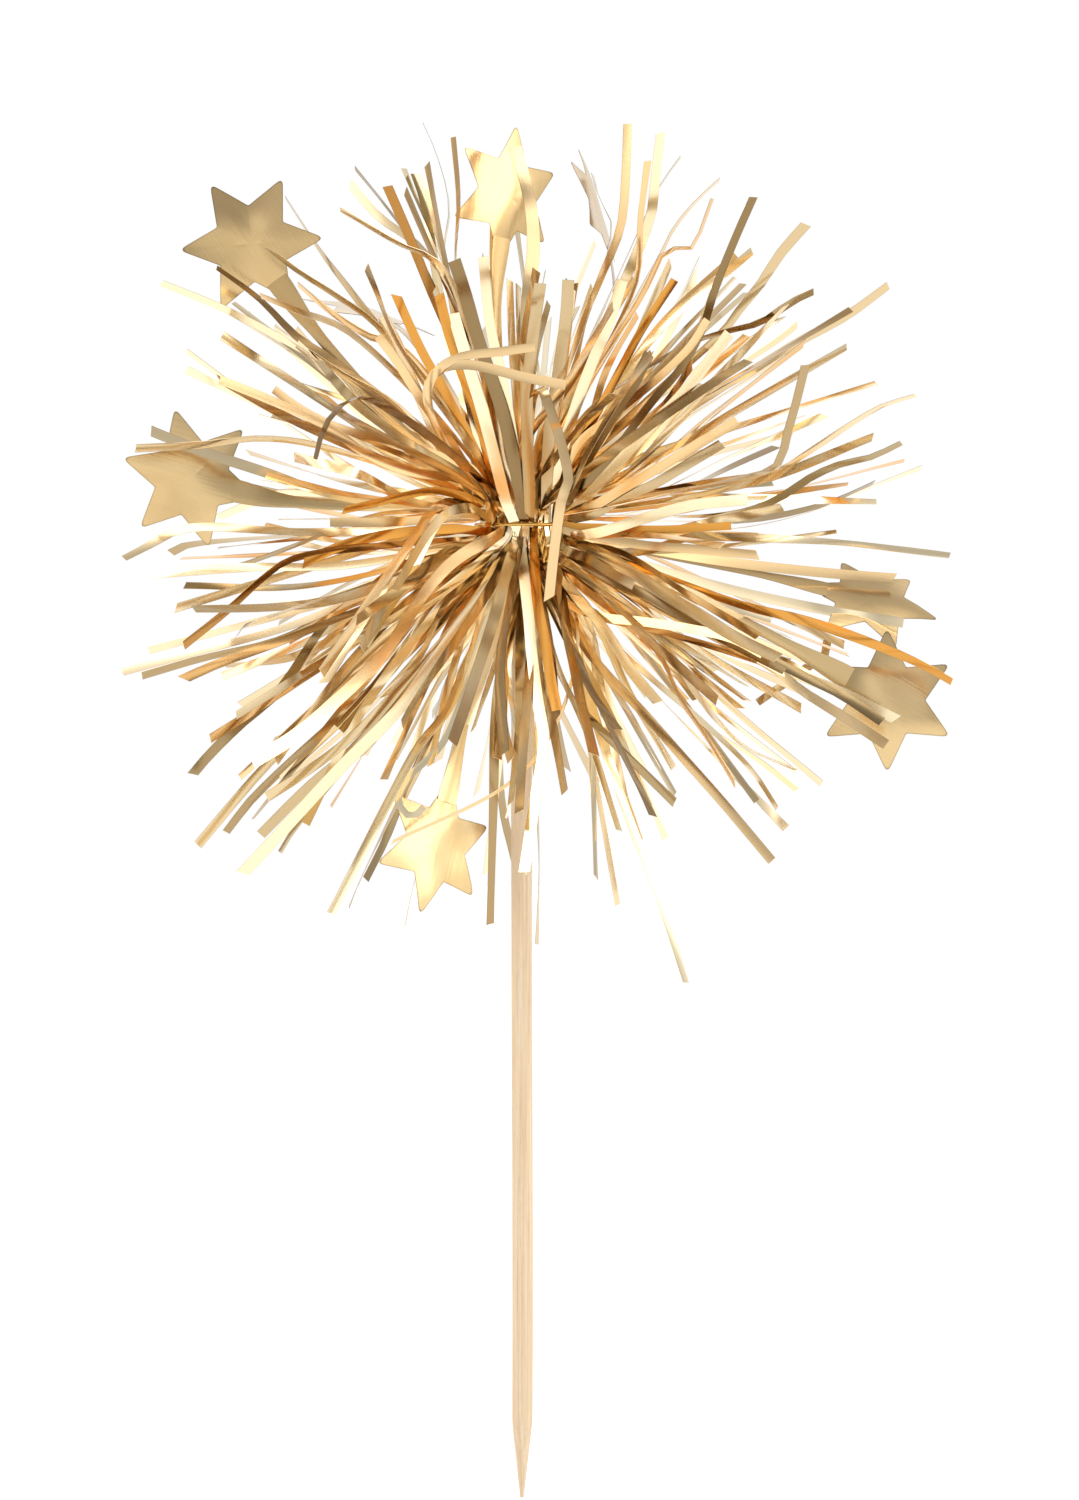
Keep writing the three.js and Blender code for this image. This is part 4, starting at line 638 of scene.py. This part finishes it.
def addFront(kind, width, out, turn, heldAt=0.45):
    own = takePacked(lambda strand: np.linalg.norm(strand["tip"] - out[-1]) / 2)
    wanted, tone = frontKinds[kind]
    middle = min(int(len(out) * heldAt), len(out) - 2)
    t = unit(out[middle + 1] - out[middle - 1])
    rolls = [math.radians(angle) for angle in range(-54, 56, 2)]
    roll = min(rolls, key=lambda r: abs(math.log(brightnessIn(t, r) / wanted)) + abs(r) * 0.6 - r * turn * 0.1)
    strip = stripLook(min(width / math.cos(roll), 1.6))
    up = math.copysign(1, out[-1][2])
    under = np.array([out[0][0] * 0.97, max(out[0][1], -4.7) * 0.97, min(up * out[0][2] - 0.6, -0.3) * up])
    # Painted shade: where no roll brings the strip down to its wanted brightness, its colour is darkened by the ratio
    # left over, all along its length
    strip.update({"points": [under] + out, "roll": roll, "heldAt": heldAt, "flatUntil": 0.01,
                  "steps": 44, "tone": tone, "paintedShade": min(wanted / brightnessIn(t, roll), 1.0), "paintedShadeFrom": -20.0, "twist": strip["twist"] * 0.15,
                  "wobble": strip["wobble"] * 0.15, "flutter": 0.0, "crown": 0.02 * turn})
    addStrip(quarters[own["quarter"] if own else "front"], strip)


for side, strips in ((-1, nearStrips), (1, farStrips)):
    for facing, *ways in strips:
        tipAcross, tipUp = ways[0]
        own = takePacked(lambda strand: math.hypot(strand["tip"][0] - tipAcross, strand["tip"][2] - tipUp)
                         + (0 if strand["tip"][1] * side >= 0 else 50))
        depth = own["tip"][1] if own else side * depthAt(tipAcross, tipUp, burst["reach"])
        out = inSpace(ways, depth)
        strip = stripLook(burst["slit"], facing)
        strip["points"] = startPoints(unit(out[0])) + out
        strip["heldAt"] = 0.75
        # Painted shade: the colour darkened by a random amount, growing outwards from 8 mm along the strip
        strip["paintedShade"] = 1 - 0.72 * random.random()
        addStrip(quarters[own["quarter"] if own else quarterOf(out[0])], strip)

for k, (kind, width, forward, *ways) in enumerate(frontStrips):
    near, far = math.hypot(*ways[0]), math.hypot(*ways[-1])
    start = max(math.sqrt(max(4.75 ** 2 - ways[0][0] ** 2, 0)), 3.4)
    out = [np.array([x, -start - 1.3 * forward * max(math.hypot(x, z) - near, 0) / (far - near), z]) for x, z in ways]
    addFront(kind, width, out, (-1) ** k)
for k, (kind, width, *places) in enumerate(curledStrips):
    addFront(kind, width, [np.array(place) for place in places], (-1) ** k, 0.9)
print("strips seen in front placed, packed strands left:", len(packed))


# Single strips: one node each, held at a place round the tie
singleStrips = {
    "strip_01": (2, 0.92, 12, (42.4, 27.9), (37.8, 24.5), (32.0, 21.3), (26.3, 17.8), (20.5, 14.4), (14.7, 9.8)),
    "strip_02": (3, 1.04, 16, (25.4, 37.7), (23.4, 34.0), (20.5, 29.4), (18.2, 24.8), (15.9, 20.2)),
    "strip_03": (5, 1.04, 13, (-3.7, -46.1), (-3.3, -31.7), (-2.9, -20.2)),
    "strip_04": (8, 1.04, 12, (-12.3, 40.8), (-11.3, 37.7), (-9.4, 25.9)),
    "strip_05": (10, 1.04, 4, (-42.8, 10.9), (-37.1, 8.6), (-30.2, 6.3), (-19.8, 2.9)),
    "strip_06": (12, 0.81, -9, (-41.3, 27.6), (-34.8, 25.0), (-30.2, 22.7), (-24.4, 19.6), (-21.0, 17.3), (-14.0, 13.2)),
    "strip_07": (13, 0.81, -10, (-45.8, -17.0), (-37.1, -14.6), (-27.9, -12.1), (-23.3, -10.4)),
    "strip_08": (15, 1.04, -12, (-37.1, -36.8), (-31.3, -29.9), (-25.6, -23.6), (-21.0, -17.8), (-17.5, -14.4)),
    "strip_09": (16, 0.69, -8, (12.1, 45.9), (11.9, 39.7), (11.3, 34.0), (9.0, 28.2), (6.7, 22.5)),
    "strip_10": (18, 0.9, -8, (18.8, -52.6), (15.9, -43.2), (12.4, -34.0), (9.6, -25.9), (7.8, -20.2)),
    "strip_11": (19, 0.50, -10, (45.1, 14.7), (41.2, 13.5), (37.8, 11.5), (32.6, 8.1), (29.7, 6.3), (25.1, 5.2)),
    "strip_12": (20, 0.92, -8, (49.3, -18.1), (45.8, -16.1), (38.9, -13.2), (32.0, -10.9), (25.1, -9.2)),
}
for name, (place, facing, depth, *ways) in singleStrips.items():
    out = inSpace(ways, depth)
    strip = stripLook(burst["slit"], facing)
    strip["points"] = heldPoints(place, out[-1]) + out
    strip["heldAt"] = 0.75
    # Painted shade: two strips darkened by set amounts, the others by a random amount, growing outwards along the strip
    strip["paintedShade"] = {"strip_03": 0.4, "strip_08": 0.7}.get(name, 1 - 0.5 * random.random() ** 1.2)
    if name == "strip_10":      # the pale one that hangs low on the right
        strip.update({"tone": 1.0, "paintedShade": 1.0})
    piece = emptyPiece()
    addStrip(piece, strip)
    finishPiece("foil." + name, piece, stripFoil, "strip_foil", name)
print("single strips made:", len(singleStrips))


# Stars: die cut at the end of a strip, joined to it by a neck
star = {
    "radius": 8.45,         # to the corner that each rounded tip would have
    "notch": 4.4,
    "tipRound": 1.0,
    "neckWidth": 2.7,
    "neckLength": 9.0,
    "foldDegrees": 8.0,
    "rings": (1.0, 0.86, 0.7, 0.52, 0.34, 0.16),
}
stars = {
    "star_strip_01": {"place": 11, "centre": (-31.1, -3, 32.3), "facing": (0, -1, 0), "neck": (0.57, 0, -0.82), "bow": 0.9},
    "star_strip_02": {"place": 9, "centre": (-38.3, 14, 5.6), "facing": (0, -1, 0), "neck": (0.96, 0, -0.28), "bow": -0.9},
    "star_strip_03": {"place": 6, "centre": (-1.5, 9, 38.3), "facing": (0.68, -0.73, 0), "neck": (-0.26, 0, -0.96), "bow": 0.5},
    "star_strip_04": {"place": 1, "centre": (40.3, 12, -8.4), "facing": (0.19, -0.59, 0.78), "neck": (-0.97, 0, 0.24), "bow": 0.6},
    "star_strip_05": {"place": 0, "centre": (42.1, 2, -20.2), "facing": (0, -1, 0), "neck": (-0.87, 0, 0.5), "bow": 0.9},
    "star_strip_06": {"place": 14, "centre": (-9.7, -6, -36.8), "facing": (0.6, -0.8, 0), "neck": (0.33, 0, 0.94), "bow": 0.5},
    "star_strip_07": {"place": 7, "centre": (-17.7, 30, 25.4), "facing": (0.29, -0.1, 0.95), "neck": (0.4, -0.75, -0.2), "bow": 0.4},
    "star_strip_08": {"place": 4, "centre": (9, 20, 36.9), "facing": (0.95, -0.1, 0.3), "neck": (0, -0.3, -0.95), "bow": 0.4},
}


neckStart = 5.45


# The outline runs round from one side of the neck to the other; the neck points along +u.
def starOutline():
    corners = []
    for k in range(12):
        angle = math.radians(30 * k)
        if k == 0:
            continue
        radius = star["radius"] if k % 2 == 0 else star["notch"]
        corners.append((radius * math.cos(angle), radius * math.sin(angle), k % 2 == 0))
    half = star["neckWidth"] / 2
    outline = [(neckStart, half)]
    for i, (x, y, isTip) in enumerate(corners):
        here = np.array([x, y])
        before = np.array(corners[i - 1][:2]) if i else np.array([neckStart, half])
        after = np.array(corners[i + 1][:2]) if i + 1 < len(corners) else np.array([neckStart, -half])
        reach = star["tipRound"] if isTip else 0.2
        a = here + unit(before - here) * reach
        b = here + unit(after - here) * reach
        for step in (2, 1):
            outline.append(tuple(before + (a - before) * (1 - step / 3)))
        for t in (0, 0.25, 0.5, 0.75, 1):
            outline.append(tuple(a * (1 - t) ** 2 + here * 2 * t * (1 - t) + b * t ** 2))
    return outline + [(neckStart, -half)]


for name, look in stars.items():
    centre = np.array(look["centre"], float)
    facing = unit(np.array(look["facing"], float))
    neck = np.array(look["neck"], float)
    neck = unit(neck - (neck @ facing) * facing)
    side = np.cross(facing, neck)
    piece = emptyPiece()
    tone = random.random()
    outline = starOutline()
    count = len(outline)

    # Folded a little along its middle, and bowed along its length
    def onStar(u, v, lift):
        fold = math.tan(math.radians(star["foldDegrees"])) * (math.sqrt((v - 0.8) ** 2 + 5.0) - 2.3)
        share = u / star["radius"]
        arch = look["bow"] * (share ** 2 if share < 1 else 2 * share - 1)
        ripple = 0.12 * math.sin(0.55 * u + 7 * tone) * math.cos(0.5 * v + 5 * tone)
        return centre + neck * u + side * v - facing * (fold + arch + ripple) + facing * lift

    for lift in (burst["foil"] * 0.6, -burst["foil"] * 0.6):
        for scale in star["rings"]:
            for x, y in outline:
                piece["points"].append((tie + onStar(x * scale, y * scale, lift)) * mm)
                piece["along"].append(x * scale)
                piece["across"].append(y * scale)
                piece["rim"].append(scale)
                piece["tone"].append(tone)
                piece["paintedShade"].append(1.0)
        piece["points"].append((tie + onStar(0, 0, lift)) * mm)
        piece["along"].append(0.0)
        piece["across"].append(0.0)
        piece["rim"].append(0.0)
        piece["tone"].append(tone)
        piece["paintedShade"].append(1.0)
    layer = count * len(star["rings"]) + 1
    for top in (0, 1):
        base = top * layer
        for r in range(len(star["rings"]) - 1):
            for k in range(count):
                m = (k + 1) % count
                quad = (base + r * count + k, base + r * count + m, base + (r + 1) * count + m, base + (r + 1) * count + k)
                piece["faces"].append(quad if not top else quad[::-1])
        inner = base + (len(star["rings"]) - 1) * count
        for k in range(count):
            tri = (inner + k, inner + (k + 1) % count, base + layer - 1)
            piece["faces"].append(tri if not top else tri[::-1])
    for k in range(count):
        m = (k + 1) % count
        piece["faces"].append((m, k, layer + k, layer + m))

    # Its strip runs from the tie to the neck, where it widens and lies flush with the star
    joint = onStar(neckStart - 0.4, 0, 0)
    start = heldPoints(look["place"], centre)
    chord = joint - start[-1]
    rise = min(max(math.atan2(abs(chord[2]), math.hypot(chord[0], chord[1])), math.radians(14)), math.radians(76))
    angle = 2 * math.pi * look["place"] / burst["places"]
    leave = np.array([math.cos(angle) * math.cos(rise), math.sin(angle) * math.cos(rise), math.copysign(math.sin(rise), chord[2])])
    pull = np.linalg.norm(chord) / 3
    pulls = (start[-1], start[-1] + leave * pull, joint + neck * pull, joint)
    curve = [pulls[0] * (1 - t) ** 3 + pulls[1] * 3 * t * (1 - t) ** 2 + pulls[2] * 3 * t * t * (1 - t) + pulls[3] * t ** 3
             for t in (0.15, 0.3, 0.45, 0.6, 0.75, 0.87, 1.0)]
    strip = stripLook(burst["slit"])
    strip.update({"points": start + curve, "twist": 0.0, "wobble": 0.0, "flutter": 0.0, "slant": 0, "heldAt": 0.99, "tone": tone,
                  "crown": -0.06, "steps": 36, "neck": {"width": star["neckWidth"], "length": star["neckLength"]}})
    t = -neck
    view = towardsCamera if abs(t @ towardsCamera) < 0.93 else np.array([0.0, 0.0, 1.0])
    flat = unit(np.cross(t, view))
    strip["roll"] = math.atan2(side @ np.cross(flat, t), side @ flat)
    addStrip(piece, strip)
    finishPiece("foil." + name, piece, starFoil, "star_foil", name, sharpAt=50)
print("stars made:", len(stars))


# The rest of the ball: the strands that no seen strip has taken
for strand in packed:
    bend, tip = strand["bend"], strand["tip"]
    way = unit(bend)
    side = unit(np.cross(tip - bend, np.array([random.gauss(0, 1) for _ in range(3)])))
    middle = (bend + tip) / 2 + side * random.gauss(0, 0.7)
    if tip[1] < 0:      # in front they hang back behind the strips that the photograph shows there
        bend, middle = bend * np.array([1, 0.75, 1]), middle * np.array([1, 0.8, 1])
    strip = stripLook(burst["slit"], burst["slit"] * (random.uniform(0.4, 0.8) if tip[1] < 0 else random.uniform(0.25, 0.6)))
    strip["points"] = startPoints(way) + [bend, middle, tip]
    strip["twist"] = random.gauss(0, 0.6)
    addStrip(quarters[strand["quarter"]], strip)
print("other strips placed:", len(packed))

for name, piece in quarters.items():
    finishPiece("foil.tinsel_" + name, piece, stripFoil, "tinsel_foil", "tinsel_" + name)


# Tie wire: one turn round the waist, its ends twisted together
wire = {
    "ringRadius": 5.32,
    "thickness": 0.4,
    "twistAt": math.radians(17 * 360 / 21),
    "twistRoot": (5.82, -0.5),
    "twistWay": (0.42, -0.91),
    "twistLength": 4.2,
    "twistRadius": 0.23,
    "pitch": 2.6,
    "sides": 10,
}


def addTube(piece, line, radius, closed):
    count = len(line)
    first = len(piece["points"])
    sides = wire["sides"]
    spin = np.array([0.0, 0.0, 1.0])
    walked = 0.0
    for i, here in enumerate(line):
        after = line[(i + 1) % count] if closed or i + 1 < count else here
        before = line[i - 1] if closed or i else here
        t = unit(after - before)
        a = unit(spin - (spin @ t) * t)
        b = np.cross(t, a)
        spin = a
        walked += np.linalg.norm(here - before)
        for k in range(sides):
            angle = 2 * math.pi * k / sides
            piece["points"].append((tie + here + (a * math.cos(angle) + b * math.sin(angle)) * radius) * mm)
            piece["along"].append(walked)
            piece["across"].append(k / sides)
    for i in range(count if closed else count - 1):
        m = (i + 1) % count
        for k in range(sides):
            n = (k + 1) % sides
            piece["faces"].append((first + i * sides + k, first + i * sides + n, first + m * sides + n, first + m * sides + k))
    if not closed:
        piece["faces"].append(tuple(first + k for k in reversed(range(sides))))
        piece["faces"].append(tuple(first + (count - 1) * sides + k for k in range(sides)))


tieWire = emptyPiece()
ring = [np.array([math.cos(a), math.sin(a), 0.0]) * wire["ringRadius"] for a in np.linspace(0, 2 * math.pi, 97)[:-1]]
addTube(tieWire, ring, wire["thickness"] / 2, True)
away = np.array([math.cos(wire["twistAt"]), math.sin(wire["twistAt"]), 0.0])
besideAway = np.array([-away[1], away[0], 0.0])
root = away * wire["twistRoot"][0] + np.array([0, 0, wire["twistRoot"][1]])
axis = unit(away * wire["twistWay"][0] + np.array([0, 0, wire["twistWay"][1]]))
outAxis = np.cross(axis, besideAway)
for half in (0, math.pi):
    coil = []
    for part in np.linspace(0, 1, 40):
        angle = half + part * wire["twistLength"] / wire["pitch"] * 2 * math.pi
        coil.append(root + axis * wire["twistLength"] * part
                    + (besideAway * math.cos(angle) + outAxis * math.sin(angle)) * wire["twistRadius"])
    addTube(tieWire, coil, wire["thickness"] / 2, False)
finishPiece("tieWire", tieWire, wireFinish, "wire", "tie_wire")
print("tie wire made")


# Pick: a turned birch stick, its end whittled to a point with a few flat cuts
pick = {
    "radius": 1.19,
    "top": 115.0,
    "sides": 48,
    "cuts": [  # turn of each cut in degrees, and the height where it starts
        (8, 9.2), (75, 10.4), (150, 8.4), (196, 10.2), (262, 9.6), (318, 8.8),
    ],
    "tip": 0.2,
}
stick = {"points": [], "faces": []}
heights = [0.0, 0.4] + [0.8 + 0.5 * k for k in range(21)] + [13.0, 20.0] + [20 + 5.0 * k for k in range(1, 19)] + [114.4, 115.0]
for h in heights:
    sway = 0.06 * math.sin(h * 0.06 + 0.4)
    for k in range(pick["sides"]):
        angle = 2 * math.pi * k / pick["sides"]
        radius = pick["radius"] * (1 + 0.012 * math.sin(3 * angle + h * 0.05) + 0.008 * math.sin(7 * angle + 1.3))
        for turn, start in pick["cuts"]:
            off = math.cos(angle - math.radians(turn))
            if off > 0.15:
                reach = pick["tip"] + (pick["radius"] - pick["tip"]) * h / start
                radius = min(radius, reach / off)
        if h > pick["top"] - 0.3:
            radius -= 0.25
        fade = min(h / 20, 1)
        stick["points"].append((np.array([radius * math.cos(angle) + sway * fade, radius * math.sin(angle), h])) * mm)
sides = pick["sides"]
for i in range(len(heights) - 1):
    for k in range(sides):
        m = (k + 1) % sides
        stick["faces"].append((i * sides + k, i * sides + m, (i + 1) * sides + m, (i + 1) * sides + k))
stick["faces"].append(tuple(reversed(range(sides))))
stick["faces"].append(tuple((len(heights) - 1) * sides + k for k in range(sides)))
finishPiece("birchPick", stick, birch, "pick_wood", "pick", sharpAt=14)
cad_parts["glue_cap"].data.materials.clear()
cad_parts["glue_cap"].data.materials.append(glueFinish)
print("pick made")


# Floor, light and camera
floorMaterial, tree = newMaterial("paleFloor")
path = addNode(tree, "ShaderNodeLightPath")
seen = addNode(tree, "ShaderNodeMath", {"operation": "MAXIMUM"}, {}, {0: path.outputs["Is Camera Ray"], 1: path.outputs["Is Glossy Ray"]})
seenToo = addNode(tree, "ShaderNodeMath", {"operation": "MAXIMUM"}, {}, {0: seen.outputs["Value"], 1: path.outputs["Is Transmission Ray"]})
lift = addNode(tree, "ShaderNodeMath", {"operation": "MULTIPLY"}, {1: studio["floorLift"]}, {0: seenToo.outputs["Value"]})
where = addNode(tree, "ShaderNodeTexCoord")
grit = addNode(tree, "ShaderNodeTexNoise", {}, {"Scale": 60.0, "Detail": 3.0}, {"Vector": where.outputs["Object"]})
paper = addNode(tree, "ShaderNodeValToRGB", {}, {}, {"Fac": grit.outputs["Fac"]})
fillRamp(paper, [(0.3, "#F2F0EC"), (0.7, "#F6F5F2")])
matt = addNode(tree, "ShaderNodeBsdfDiffuse", {}, {}, {"Color": paper.outputs["Color"]})
glow = addNode(tree, "ShaderNodeEmission", {}, {"Color": (1, 1, 1, 1)}, {"Strength": lift.outputs["Value"]})
both = addNode(tree, "ShaderNodeAddShader", {}, {}, {0: matt.outputs["BSDF"], 1: glow.outputs["Emission"]})
addNode(tree, "ShaderNodeOutputMaterial", {}, {}, {"Surface": both.outputs["Shader"]})
floorMesh = bpy.data.meshes.new("floor")
half = studio["floorSize"]
floorMesh.from_pydata([(-half, -half, 0), (half, -half, 0), (half, half, 0), (-half, half, 0)], [], [(0, 1, 2, 3)])
floorMesh.materials.append(floorMaterial)
floor = bpy.data.objects.new("floor", floorMesh)
bpy.context.collection.objects.link(floor)

scene = bpy.context.scene
world = bpy.data.worlds.new("studioRoom")
world.use_nodes = True
scene.world = world
tree = world.node_tree
tree.nodes.clear()
path = addNode(tree, "ShaderNodeLightPath")
where = addNode(tree, "ShaderNodeTexCoord")
towards = addNode(tree, "ShaderNodeVectorMath", {"operation": "DOT_PRODUCT"}, {1: (0, -1, 0)}, {0: where.outputs["Generated"]})
turn = addNode(tree, "ShaderNodeMapRange", {}, {"From Min": -1.0, "From Max": 1.0}, {"Value": towards.outputs["Value"]})
dim = addNode(tree, "ShaderNodeValToRGB", {}, {}, {"Fac": turn.outputs["Result"]})
fillRamp(dim, [(place, shade) for place, shade in studio["roomInFoil"]])
mirrored = addNode(tree, "ShaderNodeMath", {"operation": "MAXIMUM"}, {}, {0: path.outputs["Is Glossy Ray"], 1: path.outputs["Is Transmission Ray"]})
patches = addNode(tree, "ShaderNodeTexNoise", {}, {"Scale": 1.7, "Detail": 3.0, "Roughness": 0.62}, {"Vector": where.outputs["Generated"]})
uneven = addNode(tree, "ShaderNodeMapRange", {}, {"From Min": 0.36, "From Max": 0.64, "To Min": studio["patches"][0] * studio["roomPeak"],
                 "To Max": studio["patches"][1] * studio["roomPeak"]}, {"Value": patches.outputs["Fac"]})
surroundings = addNode(tree, "ShaderNodeMath", {"operation": "MULTIPLY"}, {},
                       {0: dim.outputs["Color"], 1: uneven.outputs["Result"]})
room = addNode(tree, "ShaderNodeMix", {"data_type": "FLOAT"}, {2: studio["roomGlow"]},
               {0: mirrored.outputs["Value"], 3: surroundings.outputs["Value"]})
strength = addNode(tree, "ShaderNodeMix", {"data_type": "FLOAT"}, {3: 1.0}, {0: path.outputs["Is Camera Ray"], 2: room.outputs[0]})
sky = addNode(tree, "ShaderNodeBackground", {}, {"Color": (1, 1, 1, 1)}, {"Strength": strength.outputs[0]})
addNode(tree, "ShaderNodeOutputWorld", {}, {}, {"Surface": sky.outputs["Background"]})

for name, lamp in softboxes.items():
    light = bpy.data.lights.new(name, "AREA")
    light.shape = "RECTANGLE"
    light.size, light.size_y = lamp["size"]
    light.energy = lamp["radiance"] * math.pi * light.size * light.size_y
    box = bpy.data.objects.new(name, light)
    bpy.context.collection.objects.link(box)
    place = np.array(lamp["place"])
    aim = unit(tie * mm - place)
    back = -aim
    sideways = unit(np.cross(np.array([0.0, 0.0, 1.0]), back)) if abs(aim[2]) < 0.95 else np.array([1.0, 0.0, 0.0])
    upward = np.cross(back, sideways)
    box.matrix_world = Matrix([(*sideways, 0), (*upward, 0), (*back, 0), (*place, 1)]).transposed()
    box.visible_camera = False

photo = {"width": 1079, "height": 1500, "mmPerPixel": 0.11516, "pickAcross": 522.0, "tipRow": 1497.5, "distance": 2.0}
lens = bpy.data.cameras.new("frontView")
lens.sensor_fit = "VERTICAL"
lens.sensor_height = 24.0
lens.lens = lens.sensor_height * photo["distance"] / (photo["height"] * photo["mmPerPixel"] * mm)
lens.clip_start = 0.05
lens.clip_end = 30.0
camera = bpy.data.objects.new("frontView", lens)
bpy.context.collection.objects.link(camera)
camera.location = ((photo["width"] / 2 - photo["pickAcross"]) * photo["mmPerPixel"] * mm, -photo["distance"],
                   (photo["tipRow"] - photo["height"] / 2) * photo["mmPerPixel"] * mm)
camera.rotation_euler = (math.radians(90), 0, 0)
scene.camera = camera
scene.view_settings.view_transform = "Standard"
print("studio set")

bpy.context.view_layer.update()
